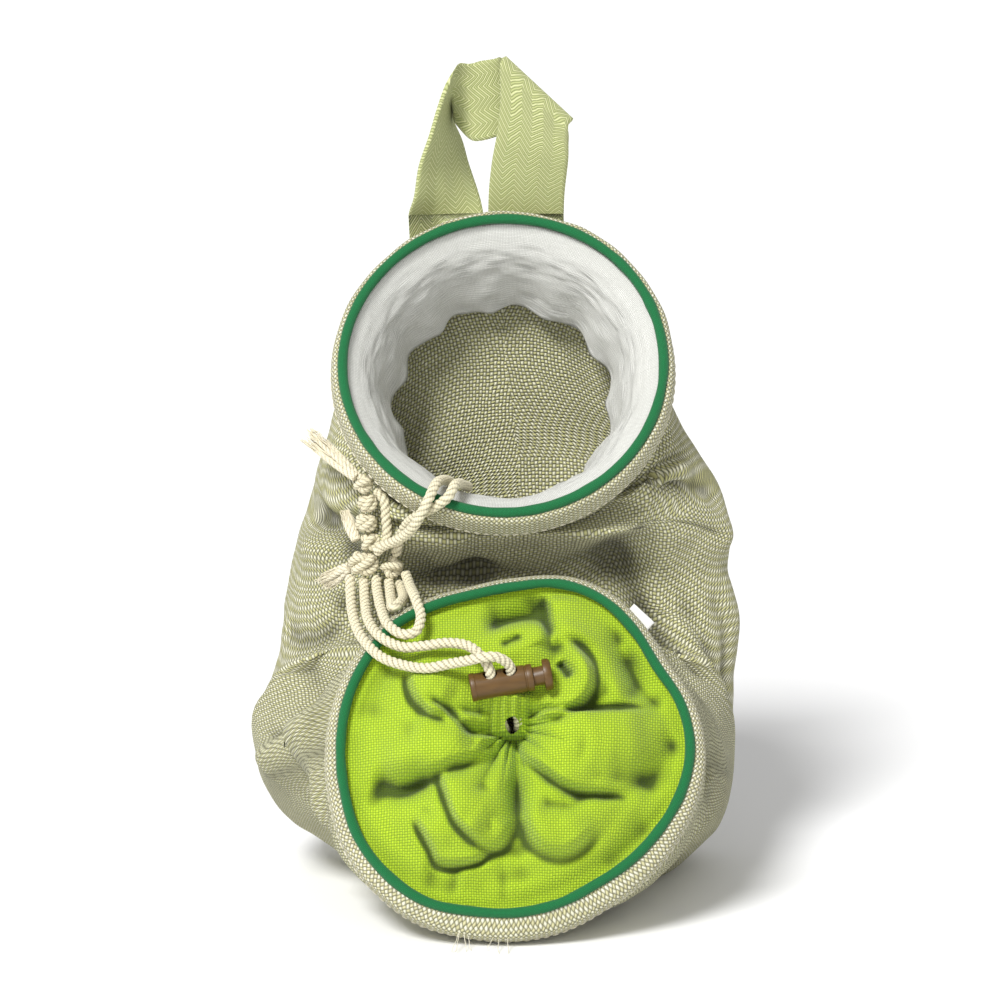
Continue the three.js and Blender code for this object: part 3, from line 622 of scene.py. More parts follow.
class NodeTool:
    """A Geometry Nodes group with named inputs that ends in real geometry with a material."""

    def __init__(self, name: str, inputs: dict[str, str]) -> None:
        """Makes the group and its sockets."""
        self.group = bpy.data.node_groups.new(name, "GeometryNodeTree")
        new_socket = self.group.interface.new_socket
        new_socket(name="Geometry", in_out="INPUT", socket_type="NodeSocketGeometry")
        for key, kind in {**inputs, "Material": "NodeSocketMaterial"}.items():
            new_socket(name=key, in_out="INPUT", socket_type=kind)
        new_socket(name="Geometry", in_out="OUTPUT", socket_type="NodeSocketGeometry")
        self.start = self.node("NodeGroupInput")

    def node(self, kind: str, inputs: dict | None = None, **settings) -> bpy.types.Node:
        """A node with its settings, and its inputs set or linked."""
        made = self.group.nodes.new(kind)
        for key, value in settings.items():
            setattr(made, key, value)
        for key, value in (inputs or {}).items():
            if isinstance(value, bpy.types.NodeSocket):
                self.group.links.new(value, made.inputs[key])
            else:
                made.inputs[key].default_value = value
        return made

    def end(self, geometry: bpy.types.NodeSocket) -> None:
        """Ends the group in Realize Instances and Set Material."""
        real = self.node("GeometryNodeRealizeInstances", {0: geometry})
        material = self.start.outputs["Material"]
        dressed = self.node("GeometryNodeSetMaterial", {"Geometry": real.outputs[0], "Material": material})
        self.node("NodeGroupOutput", {0: dressed.outputs[0]})

    def run(self, name: str, lines: list[Array], values: dict) -> bpy.types.Object:
        """Runs the group on lines of points in mm.

        Args:
            name: The new piece.
            lines: The lines that it starts from.
            values: The inputs by name.

        Returns:
            The piece, with its own mesh and no modifier.
        """
        edges, start = [], 0
        for line in lines:
            edges += [(start + k, start + k + 1) for k in range(len(line) - 1)]
            start += len(line)
        mesh = bpy.data.meshes.new(name)
        mesh.from_pydata((np.vstack(lines) * METRES).tolist(), edges, [])
        made = bpy.data.objects.new(name, mesh)
        bpy.context.scene.collection.objects.link(made)
        modifier = made.modifiers.new(name, "NODES")
        modifier.node_group = self.group
        for item in self.group.interface.items_tree:
            if item.in_out == "INPUT" and item.name in values:
                modifier[item.identifier] = values[item.name]
        return applied(made)


def stitch_tool() -> NodeTool:
    """Short stitches set along lines."""
    sizes = {"Pitch": "NodeSocketFloat", "Length": "NodeSocketFloat", "Radius": "NodeSocketFloat"}
    tool = NodeTool("stitches", sizes)
    given = tool.start.outputs
    curve = tool.node("GeometryNodeMeshToCurve", {0: given["Geometry"]})
    spaced = {"Curve": curve.outputs[0], "Length": given["Pitch"]}
    points = tool.node("GeometryNodeCurveToPoints", spaced, mode="LENGTH")
    ball = tool.node("GeometryNodeMeshIcoSphere", {"Radius": 1.0, "Subdivisions": 2})
    half = tool.node("ShaderNodeMath", {0: given["Length"], 1: 0.5}, operation="MULTIPLY")
    size = tool.node("ShaderNodeCombineXYZ", {0: given["Radius"], 1: given["Radius"], 2: half.outputs[0]})
    placed = tool.node(
        "GeometryNodeInstanceOnPoints",
        {
            "Points": points.outputs["Points"],
            "Instance": ball.outputs[0],
            "Rotation": points.outputs["Rotation"],
            "Scale": size.outputs[0],
        },
    )
    tool.end(placed.outputs[0])
    return tool


def fibre_tool() -> NodeTool:
    """Fine fibres along lines, which wander more towards their tips."""
    sizes = {"Radius": "NodeSocketFloat", "Wander": "NodeSocketFloat", "Seed": "NodeSocketFloat"}
    tool = NodeTool("fibres", sizes)
    given = tool.start.outputs
    curve = tool.node("GeometryNodeMeshToCurve", {0: given["Geometry"]})
    share = tool.node("GeometryNodeSplineParameter").outputs["Factor"]
    place = tool.node("GeometryNodeInputPosition").outputs[0]
    drawn = {"Vector": place, "W": given["Seed"], "Scale": 420.0}
    noise = tool.node("ShaderNodeTexNoise", drawn, noise_dimensions="4D")
    colour = next(s for s in noise.outputs if s.name == "Color")
    centred = tool.node("ShaderNodeVectorMath", {0: colour, 1: (0.5, 0.5, 0.5)}, operation="SUBTRACT")
    reach = tool.node("ShaderNodeMath", {0: share, 1: given["Wander"]}, operation="MULTIPLY")
    scaled = {0: centred.outputs[0], "Scale": reach.outputs[0]}
    offset = tool.node("ShaderNodeVectorMath", scaled, operation="SCALE").outputs[0]
    moved = tool.node("GeometryNodeSetPosition", {"Geometry": curve.outputs[0], "Offset": offset})
    circle = tool.node("GeometryNodeCurvePrimitiveCircle", {"Resolution": 4, "Radius": given["Radius"]})
    tube = tool.node(
        "GeometryNodeCurveToMesh",
        {"Curve": moved.outputs[0], "Profile Curve": circle.outputs[0], "Fill Caps": True},
    )
    tool.end(tube.outputs[0])
    return tool


# Cords


def transported(line: Array, closed: bool) -> tuple[Array, Array]:
    """Two directions across a line that turn with it as little as they can."""
    tangents = np.gradient(line, axis=0)
    if closed:
        tangents = np.roll(line, -1, axis=0) - np.roll(line, 1, axis=0)
    tangents /= np.linalg.norm(tangents, axis=1, keepdims=True)
    side = np.cross(tangents[0], (0.31, 0.2, 0.93))
    sides = []
    for tangent in tangents:
        side = side - tangent * side.dot(tangent)
        side = side / np.linalg.norm(side)
        sides.append(side)
    made = np.array(sides)
    others = np.cross(tangents, made)
    if closed:
        last = made[-1] - tangents[0] * made[-1].dot(tangents[0])
        off = math.atan2(last.dot(others[0]), last.dot(made[0]))
        turn = -off * np.linspace(0, 1, len(line))[:, None]
        cos, sin = np.cos(turn), np.sin(turn)
        made, others = cos * made + sin * others, cos * others - sin * made
    return made, others


def twisted_tube(
    line: Array,
    radius: float | Array,
    sides: int = 20,
    pitch: float = 6.2,
    closed: bool = False,
    turn: float = 0.0,
) -> Patch:
    """A tube of three twisted plies.

    Args:
        line: Its middle, evenly spaced, in mm.
        radius: Its radius in mm, one or one for each place.
        sides: Points round it.
        pitch: Length of one full turn of the plies.
        closed: Whether its end meets its start.
        turn: Where the plies start, in turns.

    Returns:
        The patch, with turns of the plies and mm along it as cloth coordinates.
    """
    one, other = transported(line, closed)
    step = np.linalg.norm(line[1] - line[0])
    length = step * (len(line) if closed else len(line) - 1)
    thirds = max(1, round(3 * length / pitch))
    run = step * np.arange(len(line) + closed)
    twist = turn + (run / length * thirds / 3 if closed else run / pitch)
    share = np.linspace(0, 1, sides + 1)
    ply = share[None, :] - twist[:, None]
    groove = 0.24  # depth of the grooves between the plies, as a share of the radius
    swell = 1 - groove + groove * np.abs(np.cos(3 * math.pi * ply)) ** 0.8
    reach = (np.broadcast_to(radius, len(line))[:, None] * swell[: len(line), :-1])[..., None]
    angle = 2 * math.pi * share[:-1][None, :, None]
    grid = line[:, None] + reach * (np.cos(angle) * one[:, None] + np.sin(angle) * other[:, None])
    cloth = np.stack([ply, np.broadcast_to(run[:, None], ply.shape)], axis=-1)
    return Patch(grid, cloth, close_rows=closed)


ROUTES: dict[str, list[tuple[float, float, float]]] = {
    "closure_cord_upper": [
        (2.0, -34.6, 63.6), (1.0, -44.6, 67.7), (-1.9, -50.9, 78.1), (-2.7, -53.2, 83.6),
        (-3.4, -55.6, 89.0), (-6.0, -53.4, 92.8), (-10.3, -49.8, 95.2), (-16.8, -46.6, 95.3),
        (-24.3, -44.0, 93.7), (-31.2, -41.2, 92.7), (-37.8, -36.8, 94.7), (-42.0, -27.4, 97.8),
        (-43.4, -16.9, 100.9), (-43.9, -10.0, 104.1), (-44.1, -6.4, 106.5),
    ],
    "closure_cord_lower": [
        (5.9, -34.6, 63.6), (6.1, -44.4, 68.3), (4.4, -50.5, 79.1), (3.6, -52.8, 84.6),
        (2.9, -55.2, 90.1), (-1.0, -57.8, 93.4), (-5.4, -58.4, 93.5), (-10.2, -56.0, 91.9),
        (-15.9, -52.7, 90.0), (-23.0, -50.1, 88.0), (-30.3, -45.8, 87.8), (-37.7, -41.2, 89.4),
        (-44.2, -31.8, 93.7), (-47.4, -19.6, 98.5), (-48.3, -10.8, 103.6), (-48.5, -6.6, 107.6),
    ],
    "mouth_cord_upper": [
        (-10.3, 3.6, 135.2), (-12.0, -5.8, 137.9), (-13.4, -14.2, 140.1), (-14.7, -21.2, 140.6),
        (-16.4, -24.4, 138.0), (-20.2, -23.6, 134.8), (-26.4, -19.2, 130.6),
        (-30.3, -12.5, 125.9), (-32.6, -8.6, 120.1), (-33.6, -7.2, 115.2),
    ],
    "mouth_cord_lower": [
        (-15.2, 3.9, 136.1), (-16.9, -5.4, 139.2), (-18.7, -13.6, 141.0), (-20.5, -20.8, 141.2),
        (-23.1, -25.8, 136.7), (-26.7, -25.0, 129.6), (-30.5, -19.4, 124.2),
        (-34.5, -14.3, 120.9), (-37.6, -10.9, 118.8), (-40.0, -9.5, 116.5),
    ],
    "knot_strand": [
        (-39.9, -1.6, 135.2), (-37.4, -3.6, 132.2), (-36.9, -4.4, 126.6), (-36.5, -5.0, 121.8),
        (-37.1, -5.6, 117.6),
    ],
    "cord_bight": [
        (-30.4, -8.7, 108.9), (-28.8, -16.5, 106.5), (-27.0, -28.5, 105.5), (-25.2, -36.0, 101.0),
        (-26.8, -39.6, 97.3), (-30.9, -39.3, 96.4), (-35.4, -34.9, 98.2), (-38.0, -24.5, 100.9),
        (-39.3, -14.9, 103.4), (-39.9, -9.9, 105.2), (-40.0, -7.0, 107.2),
    ],
    "cord_bight_inner": [
        (-35.9, -7.6, 106.2), (-35.4, -14.0, 103.8), (-34.8, -21.4, 102.4), (-34.5, -27.0, 102.4),
        (-33.4, -28.2, 102.8), (-32.0, -24.4, 103.3), (-31.2, -16.0, 103.0), (-31.7, -9.4, 103.8),
        (-32.6, -6.1, 105.3),
    ],
}


@dataclass
class DrawCord:
    """One free strand of the drawcords, along its route.

    shortest: the length under which declare returns early. step: distance of its points.
    every: not used. All in mm but the last.
    """

    node: str
    with_pieces: list[bpy.types.Object] = field(default_factory=list)
    diameter: float = CORD_DIAMETER
    shortest: float = 30.0
    step: float = 0.4
    every: int = 4
    line: Array = field(init=False)
    length: float = field(init=False)
    piece: bpy.types.Object = field(init=False)

    def build(self, material: bpy.types.Material) -> None:
        """Makes the strand."""
        self.line = catmull_rom(np.array(ROUTES[self.node]), self.step)
        self.length = np.linalg.norm(np.diff(self.line, axis=0), axis=1).sum()
        self.piece = build(f"twisted_{self.node}", [twisted_tube(self.line, self.diameter / 2)], material)
        settle(self.piece, (self.node,))

    def declare(self) -> None:
        """Returns early where the strand is too short for a cord, and does nothing else."""
        if self.length < self.shortest:
            return


@dataclass
class Knot:
    """A knot of wound cord inside its solid's bounds: half sizes in cord diameters."""

    node: str
    x: float
    y: float
    z: float
    wide: float
    deep: float
    high: float
    wraps: int
    strand: float = 1.3
    tilt: float = 0.0

    def build(self, material: bpy.types.Material) -> bpy.types.Object:
        """Winds the cord into the knot."""
        t = np.linspace(0, 2 * math.pi, 600, endpoint=False)
        rounds, weaves = (2, 3) if self.wraps < 4 else (3, self.wraps)
        room = np.array([self.wide, self.deep, self.high * 0.96]) * CORD_DIAMETER
        room -= np.array([1, 1, 0.96]) * self.strand
        swing = 0.42
        reach = (1 + swing * np.cos(weaves * t)) / (1 + swing)
        line = np.stack([reach * np.cos(rounds * t), reach * np.sin(rounds * t), np.sin(weaves * t)], axis=1)
        line = line * room
        turn = np.array(Matrix.Rotation(self.tilt, 3, "Y"))
        line = line @ turn.T + (self.x, self.y, self.z)
        line = even(np.vstack([line, line[:1]]), 0.45)[:-1]
        tube = twisted_tube(line, self.strand, sides=14, pitch=3.6, closed=True)
        return settle(build(f"wound_{self.node}", [tube], material), (self.node,))


@dataclass
class FrayedEnd:
    """A cut end of cord that comes apart into locks and loose fibres."""

    node: str
    root: tuple[float, float, float]
    tip: tuple[float, float, float]
    spread: float
    seed: int
    locks: int = 4
    fibres: int = 80

    def build(self, tool: NodeTool, material: bpy.types.Material) -> list[bpy.types.Object]:
        """Makes the locks and the fibres round them."""
        rng = np.random.default_rng(self.seed)
        root, tip = np.array(self.root), np.array(self.tip)
        onward = tip - root
        wide = np.cross(onward, (0, 1, 0))
        wide /= np.linalg.norm(wide)
        deep = np.cross(wide, onward)
        deep /= np.linalg.norm(deep)

        def line(side: float, lift: float, length: float, curl: float) -> Array:
            """The way of one lock or fibre, from its root to its tip."""
            t = np.linspace(0, 1, 14)[:, None] * length
            aside = side * (0.35 + 0.65 * t) * self.spread
            up = lift * (0.5 + 0.5 * t) * self.spread
            bow = curl * np.sin(math.pi * t)
            return root + t * onward + wide * (aside + bow) + deep * up

        patches = []
        for k in range(self.locks):
            side = 2 * k / (self.locks - 1) - 1
            middle = even(line(0.62 * side, 0.3 * (-1) ** k, 0.92 - 0.12 * abs(side), 0.5 * side), 0.4)
            thin = np.interp(np.linspace(0, 1, len(middle)), [0, 0.5, 0.85, 1], [1.15, 1.0, 0.7, 0.12])
            patches.append(twisted_tube(middle, thin, sides=12, pitch=6.0, turn=0.3 * k))
        core = settle(build(f"locks_{self.node}", patches, material), (self.node,))
        drawn = rng.uniform(-1, 1, (self.fibres, 4))
        lines = [line(s, 0.6 * d, 0.96 + 0.12 * far, 0.9 * curl) for s, d, far, curl in drawn]
        values = {"Radius": 0.00014, "Wander": 0.0022, "Seed": float(self.seed), "Material": material}
        loose = tool.run(f"fibres_{self.node}", lines, values)
        return [core, settle(loose)]


# Rings


@dataclass
class Ring:
    """The seam ring of an opening. It leans back, by lean in degrees.

    across, back: place of its middle. bottom: height of the lowest point of its hem. outline, band:
    its radius and its hem's thickness at even angles, as shares. out, up: its axis towards the viewer
    and the way up in its plane.
    """

    radius: float
    thickness: float
    lean: float
    across: float
    back: float
    bottom: float
    outline: tuple[float, ...]
    band: tuple[float, ...]
    out: Array = field(init=False)
    up: Array = field(init=False)
    centre: Array = field(init=False)

    def __post_init__(self) -> None:
        """Works out its axes and its middle, which puts its hem's lowest point at the bottom."""
        lean = math.radians(self.lean)
        self.out = np.array([0, -math.cos(lean), math.sin(lean)])
        self.up = np.array([0, math.sin(lean), math.cos(lean)])
        low = self.outer(np.array(270.0)) * self.up[2]
        self.centre = np.array([self.across, self.back, self.bottom + low])

    def inner(self, angle: Array) -> Array:
        """Radius of the piping at an angle in degrees."""
        return (self.radius - self.thickness) * round_share(np.array(self.outline), angle)

    def outer(self, angle: Array) -> Array:
        """Radius of the hem's outside at an angle in degrees."""
        return self.inner(angle) + self.thickness * round_share(np.array(self.band), angle)

    def place(self, across: Array, above: Array, axial: Array) -> Array:
        """Points at places in the ring's own plane and along its axis."""
        across, above, axial = np.broadcast_arrays(across, above, axial)
        flat = across[..., None] * np.array([1.0, 0, 0])
        return self.centre + flat + above[..., None] * self.up + axial[..., None] * self.out

    def point(self, angle: Array, reach: Array, axial: Array) -> Array:
        """Points at angles in degrees, at a reach from the middle."""
        turn = np.radians(angle)
        return self.place(reach * np.cos(turn), reach * np.sin(turn), axial)


SLEEVE = Ring(
    radius=60,
    thickness=6,
    lean=22,
    across=4.9,
    back=-35.5,
    bottom=GAP,
    outline=(
        1.03, 1.01, 0.965, 0.99, 1.02, 1.01, 0.96, 0.945, 0.975, 1.02, 1.025, 1.03,
        1.03, 1.04, 1.065, 1.065, 1.05, 1.0, 0.975, 0.955, 0.935, 0.95, 0.975, 1.01,
    ),
    band=(0.85, 0.7, 0.6, 0.62, 0.85, 1.05, 1.4, 1.25),
)
MOUTH = Ring(
    radius=56,
    thickness=4,
    lean=35,
    across=1,
    back=16,
    bottom=float(SLEEVE.point(90, SLEEVE.outer(np.array(90.0)), 0)[2]) + 15,
    outline=(1.0, 1.01, 1.0, 0.99, 1.0, 1.0, 1.01, 1.0),
    band=(1.0,) * 8,
)


@dataclass
class RingPieces:
    """The hem and the piping of one opening, with their stitches."""

    name: str
    ring: Ring
    seed: int
    columns: int = 300
    hem_height: float = HEM_HEIGHT
    hem_wall: float = 3.0
    piping: float = PIPING_DIAMETER

    def around(self) -> tuple[Array, Array]:
        """Angles of the columns, and the share of the way round with the closing one."""
        share = np.linspace(0, 1, self.columns + 1)
        return 360 * share[:-1], share

    def build_hem(self, material: bpy.types.Material) -> bpy.types.Object:
        """The canvas hem, softened and a little uneven."""
        angle, share = self.around()
        inner = self.ring.inner(angle)
        full = self.ring.outer(angle) - inner
        beside = self.piping / 2 + GAP
        none = np.zeros(len(angle))
        corners = [
            (full - GAP, GAP + none),
            (full, 0.36 * self.hem_height + none),
            (0.86 * full, 0.8 * self.hem_height + none),
            (beside + none, 0.97 * self.hem_height + none),
            (0.25 + none, self.hem_height - beside - GAP + none),
            (full - self.hem_wall, GAP + none),
        ]
        section = np.array([[reach, axial] for reach, axial in corners])
        fine = blend(np.concatenate([section[-1:], section, section[:2]]), np.linspace(1 / 8, 7 / 8, 31))
        waves = 0.22 * ripple(angle / 360, np.zeros(len(angle)), self.seed, 4, 26)
        last = len(fine) - 2
        rows = [
            self.ring.point(angle, inner + reach + waves * math.sin(math.pi * k / last), axial)
            for k, (reach, axial) in enumerate(fine[:-1])
        ]
        long = 2 * math.pi * self.ring.radius
        steps = np.linalg.norm(np.diff(fine.mean(axis=-1), axis=0), axis=1)
        along, over = np.meshgrid(share * long, np.concatenate([[0.0], np.cumsum(steps)]))
        bias = np.stack([along + over, over - along], axis=-1) / math.sqrt(2)
        patch = Patch(np.array(rows), bias, close_rows=True)
        made = build(f"{self.name}_hem_cloth", [patch], material)
        return settle(made, (f"{self.name}_hem",))

    def build_piping(self, material: bpy.types.Material) -> bpy.types.Object:
        """The round piping along the hem's edge."""
        angle, share = self.around()
        sides = 18
        uneven = 1 + 0.05 * ripple(angle / 360, np.zeros(len(angle)), self.seed + 1, 6, 40)
        rows = []
        for k in range(sides):
            turn = 2 * math.pi * k / sides
            reach = self.ring.inner(angle) + self.piping / 2 * uneven * math.cos(turn)
            axial = self.hem_height + self.piping / 2 * uneven * math.sin(turn)
            rows.append(self.ring.point(angle, reach, axial))
        long = 2 * math.pi * self.ring.radius
        across = np.arange(sides + 1) * math.pi * self.piping / sides
        cloth = np.stack(np.meshgrid(share * long, across), axis=-1)
        patch = Patch(np.array(rows), cloth, close_rows=True)
        made = build(f"{self.name}_piping_cord", [patch], material)
        return settle(made, (f"{self.name}_piping",))

    def build_stitches(self, tool: NodeTool, material: bpy.types.Material) -> bpy.types.Object:
        """Small stitches along the foot of the hem."""
        angle = np.linspace(0, 360, 361)
        line = self.ring.point(angle, self.ring.outer(angle) + 0.05, 0.9)
        values = {"Pitch": 0.0031, "Length": 0.0021, "Radius": 0.00024, "Material": material}
        return settle(tool.run(f"{self.name}_hem_stitches", [line], values))


# Sheets


@dataclass
class Sack:
    """The canvas tube between the two rings.

    sections: each one's place across, back and up, its lean in degrees, its half width, half depth
    and squareness. They are shares of half the width, the depth and the height of the mouth's middle.
    folds: the big ones, each from a place along and round to another, with its rise and its reach as
    shares of the depth. emphasis: how far the creases are drawn out beyond their table. knots_round,
    knots_along, lining_round: where the knots lie on the canvas and where the lining shows.
    fullness: how far the inner face lies below the wall. inner_step, inner_passes: which rows it
    keeps, and how smooth its ways inwards are.
    """

    width: float = 157.0
    depth: float = 122.0
    wall: float = 1.6
    rows: int = 226
    columns: int = 320
    girth: float = 400.0
    emphasis: float = 1.9
    knots_round: float = 236.0
    knots_along: float = 0.3
    lining_round: float = 278.0
    fullness: float = 1.1
    inner_step: int = 3
    inner_passes: int = 16
    sections: tuple[tuple[float, ...], ...] = (
        (0.02, 0.222, 0.965, 40, 0.68, 0.44, 2.05),
        (0.02, 0.262, 0.88, 60, 0.72, 0.34, 2.2),
        (0.08, 0.27, 0.74, 85, 0.87, 0.26, 2.4),
        (0.04, 0.28, 0.585, 96, 0.93, 0.245, 2.4),
        (0.02, 0.255, 0.43, 115, 0.975, 0.27, 2.5),
        (-0.01, 0.197, 0.257, 145, 1.0, 0.44, 3.4),
        (0.0, -0.066, 0.251, 175, 0.95, 0.395, 2.1),
        (0.03, -0.18, 0.3, 192, 0.83, 0.44, 2.05),
    )
    folds: tuple[tuple[float, ...], ...] = (
        (0.36, 243, 0.32, 290, 0.075, 0.055),
        (0.32, 300, 0.38, 340, 0.03, 0.06),
        (0.43, 250, 0.42, 268, -0.03, 0.05),
        (0.12, 236, 0.45, 238, 0.045, 0.05),
        (0.25, 322, 0.31, 345, -0.03, 0.045),
        (0.4, 288, 0.5, 308, -0.03, 0.06),
        (0.67, 308, 0.7, 322, -0.03, 0.05),
        (0.34, 187, 0.39, 226, -0.025, 0.05),
        (0.68, 222, 0.9, 216, -0.05, 0.055),
        (0.7, 187, 0.93, 192, 0.03, 0.055),
        (0.86, 150, 0.97, 176, -0.04, 0.055),
        (0.55, 142, 0.86, 142, -0.085, 0.14),
        (0.94, 357, 0.8, 12, -0.03, 0.05),
        (0.36, 75, 0.52, 118, -0.03, 0.08),
        (0.5, 60, 0.6, 85, 0.03, 0.07),
    )
    # Degrees round and share along, then rise, reach to the left and right and groove in mm.
    creases: tuple[tuple, ...] = (
        (((187, 0.73), (190, 0.93), (200, 1.0)), 3.2, 6, 2.2, 1.6),
        (((227, 0.75), (222, 0.86), (215, 1.0)), -3.4, 4, 4, 0),
        (((180, 1.0), (157, 0.92), (152, 0.86)), 2.6, 6, 1.6, 1.8),
        (((262, 0.3), (256, 0.36), (258, 0.45)), 1.4, 7, 1.8, 1.8),
        (((250, 0.44), (258, 0.42), (270, 0.42)), -3.0, 2.6, 2.6, 0),
        (((245, 0.36), (267, 0.39), (278, 0.37), (290, 0.3)), 1.8, 4, 3, 0),
        (((303, 0.27), (327, 0.23), (347, 0.27)), 2.4, 6, 1.6, 1.6),
        (((290, 0.3), (310, 0.33), (342, 0.39)), -2.0, 3, 3, 0),
        (((287, 0.36), (298, 0.42), (305, 0.48), (310, 0.62)), -2.4, 3.4, 2.6, 0),
        (((293, 0.4), (309, 0.48), (322, 0.6), (322, 0.69)), 1.8, 4, 2.4, 0.6),
        (((357, 1.0), (366, 0.88), (372, 0.79)), -2.4, 3.4, 3.4, 0),
        (((185, 0.34), (210, 0.35), (230, 0.33)), -2.0, 3, 3, 0),
        (((230, 0.39), (210, 0.4), (188, 0.385)), 1.8, 3, 3, 0),
        (((195, 0.52), (215, 0.55), (232, 0.52)), -1.5, 3, 3, 0),
        (((330, 0.45), (345, 0.56), (350, 0.7)), -1.6, 4, 3, 0),
        (((20, 0.3), (45, 0.42), (60, 0.62)), 2.0, 6, 3, 0.5),
        (((100, 0.25), (120, 0.42), (116, 0.6)), -2.2, 5, 4, 0),
        (((135, 0.3), (160, 0.5), (150, 0.68)), 2.0, 5, 2.4, 0.5),
    )

    @property
    def length(self) -> float:
        """The length that the tables' shares along the tube are counted on, in mm."""
        return 1.45 * MOUTH.centre[2]

    def fold_rise(self, along: Array, around: Array) -> Array:
        """Height of the big folds as a share of the depth."""
        length, girth = self.length, math.pi * self.width * 0.42
        total = np.zeros(np.broadcast(along, around).shape)
        px, py = along * length, around / 360 * girth
        for from_along, from_round, to_along, to_round, rise, reach in self.folds:
            start = np.array([from_along * length, from_round / 360 * girth])
            edge = np.array([to_along * length, to_round / 360 * girth]) - start
            size = np.linalg.norm(edge)
            onward = ((px - start[0]) * edge[0] + (py - start[1]) * edge[1]) / size
            aside = ((px - start[0]) * edge[1] - (py - start[1]) * edge[0]) / size
            beyond = np.maximum(np.maximum(-onward, onward - size), 0)
            far = reach * self.depth
            total += rise * np.exp(-((aside / far) ** 2) - (beyond / far) ** 2)
        return total

    def end_section(self, ring: Ring, way: float) -> tuple[float, ...]:
        """The section that lies on a ring."""
        x, y, z = ring.centre
        inner = float(ring.inner(np.array(0.0)))
        share = self.width / 2
        return (x / share, y / self.depth, z / MOUTH.centre[2], way, inner / share, inner / self.depth, 2)

    def points(self, along: Array, around: Array) -> Array:
        """Points of the outer face, along from 0 to 1 and round in degrees."""
        table = [
            self.end_section(MOUTH, MOUTH.lean),
            *self.sections,
            self.end_section(SLEEVE, 180 + SLEEVE.lean),
        ]
        row = np.moveaxis(blend(np.array(table, float), along), -1, 0)
        shift, back, up, lean, wide, deep, square = row
        cos, sin = np.cos(np.radians(around)), np.sin(np.radians(around))
        power = 2 / square
        across = np.sign(cos) * np.abs(cos) ** power * wide * self.width / 2
        outward = np.sign(sin) * np.abs(sin) ** power * deep * self.depth
        near_mouth = 1 - smoothstep(along, 0, 0.12)
        near_sleeve = smoothstep(along, 0.86, 1)
        zero = np.array(0.0)
        at_mouth = (MOUTH.outer(around) - GAP) / MOUTH.inner(zero)
        at_sleeve = (SLEEVE.outer(-around) - GAP) / SLEEVE.inner(zero)
        swell = 1 + near_mouth * (at_mouth - 1) + near_sleeve * (at_sleeve - 1)
        stretch = self.fold_rise(along, around) * self.depth * (1 - near_mouth) * (1 - near_sleeve)
        side = outward * swell + sin * stretch
        run = np.radians(lean)
        made = np.stack(
            [
                shift * self.width / 2 + across * swell + cos * stretch,
                back * self.depth + side * np.sin(run),
                up * MOUTH.centre[2] + side * np.cos(run),
            ],
            axis=-1,
        )
        made[..., 2] = np.maximum(made[..., 2], 0)
        return made

    def flattened(self, grid: Array) -> Array:
        """The cloth's own coordinates in mm, measured along the surface from the middle of its front."""
        looped = np.concatenate([grid, grid[:, :1]], axis=1)
        wide = np.cumsum(np.linalg.norm(np.diff(looped, axis=1), axis=2), axis=1)
        wide = np.concatenate([np.zeros((len(grid), 1)), wide], axis=1)
        long = np.cumsum(np.linalg.norm(np.diff(looped, axis=0), axis=2), axis=0)
        long = np.concatenate([np.zeros((1, looped.shape[1])), long])
        return np.stack([wide - wide[:, [self.columns // 2]], long], axis=-1)

    def build(self, material: bpy.types.Material) -> bpy.types.Object:
        """The tube with its folds, creases and small wrinkles."""
        along = np.linspace(0, 1, self.rows)[:, None]
        around = np.mod(90 + 360 * np.linspace(0, 1, self.columns, endpoint=False), 360)[None, :]
        grid = self.points(along, around)
        normals = normals_of(grid)
        x = np.broadcast_to(around / 360 * self.girth, grid.shape[:2])
        y = np.broadcast_to(along * self.length, grid.shape[:2])
        height = 1.1 * ripple(around / 360, along, 5, 3, 8) + 0.2 * ripple(around / 360, along, 6, 12, 30)
        for line, rise, left, right, groove in self.creases:
            places = tuple((r / 360 * self.girth, a * self.length) for r, a in line)
            crease = Crease(places, *(self.emphasis * size for size in (rise, left, right)), groove)
            height = height + crease.height(x, y, self.girth)
        held = smoothstep(along, 0.0, 0.1) * (1 - smoothstep(along, 0.93, 1.0))
        behind_knots = window(around, self.knots_round, 24) * window(along, self.knots_along, 0.2)
        height = softened(height, 3)
        height = np.where(height > 0, height * (1 - behind_knots), height)
        outer = grid + normals * (height * held)[..., None]
        outer[..., 2] = np.maximum(outer[..., 2], 0)
        normals = normals_of(outer)
        inside = np.arange(self.rows - 1, -1, -self.inner_step)
        inward = np.stack([softened(normals[..., axis], self.inner_passes) for axis in range(3)], axis=-1)
        inward /= np.linalg.norm(inward, axis=-1, keepdims=True)
        by_lining = window(around, self.lining_round, 40) * (1 - smoothstep(along, 0.36, 0.52))
        sunk = ((self.wall + self.fullness * held) * (1 - 0.65 * by_lining))[inside]
        inner = outer[inside] - inward[inside] * sunk[..., None]
        inner[..., 2] = np.maximum(inner[..., 2], self.wall)
        # Painted shade in the canvas's valleys, lighter over the plain back.
        plain_back = window(around, 90, 75)
        painted_shade = (0.8 - 0.6 * plain_back) * painted_shade_of(outer, normals, 9, 2.0)
        full = np.concatenate([outer, inner])
        flat = self.flattened(grid)
        cloth = np.concatenate([flat, flat[inside], flat[:1]])
        shaded = np.concatenate([painted_shade, np.zeros(inner.shape[:2])])
        patch = Patch(full, cloth, close_rows=True, painted_shade=shaded)
        return settle(build("canvas_tube", [patch], material), ("sack",))


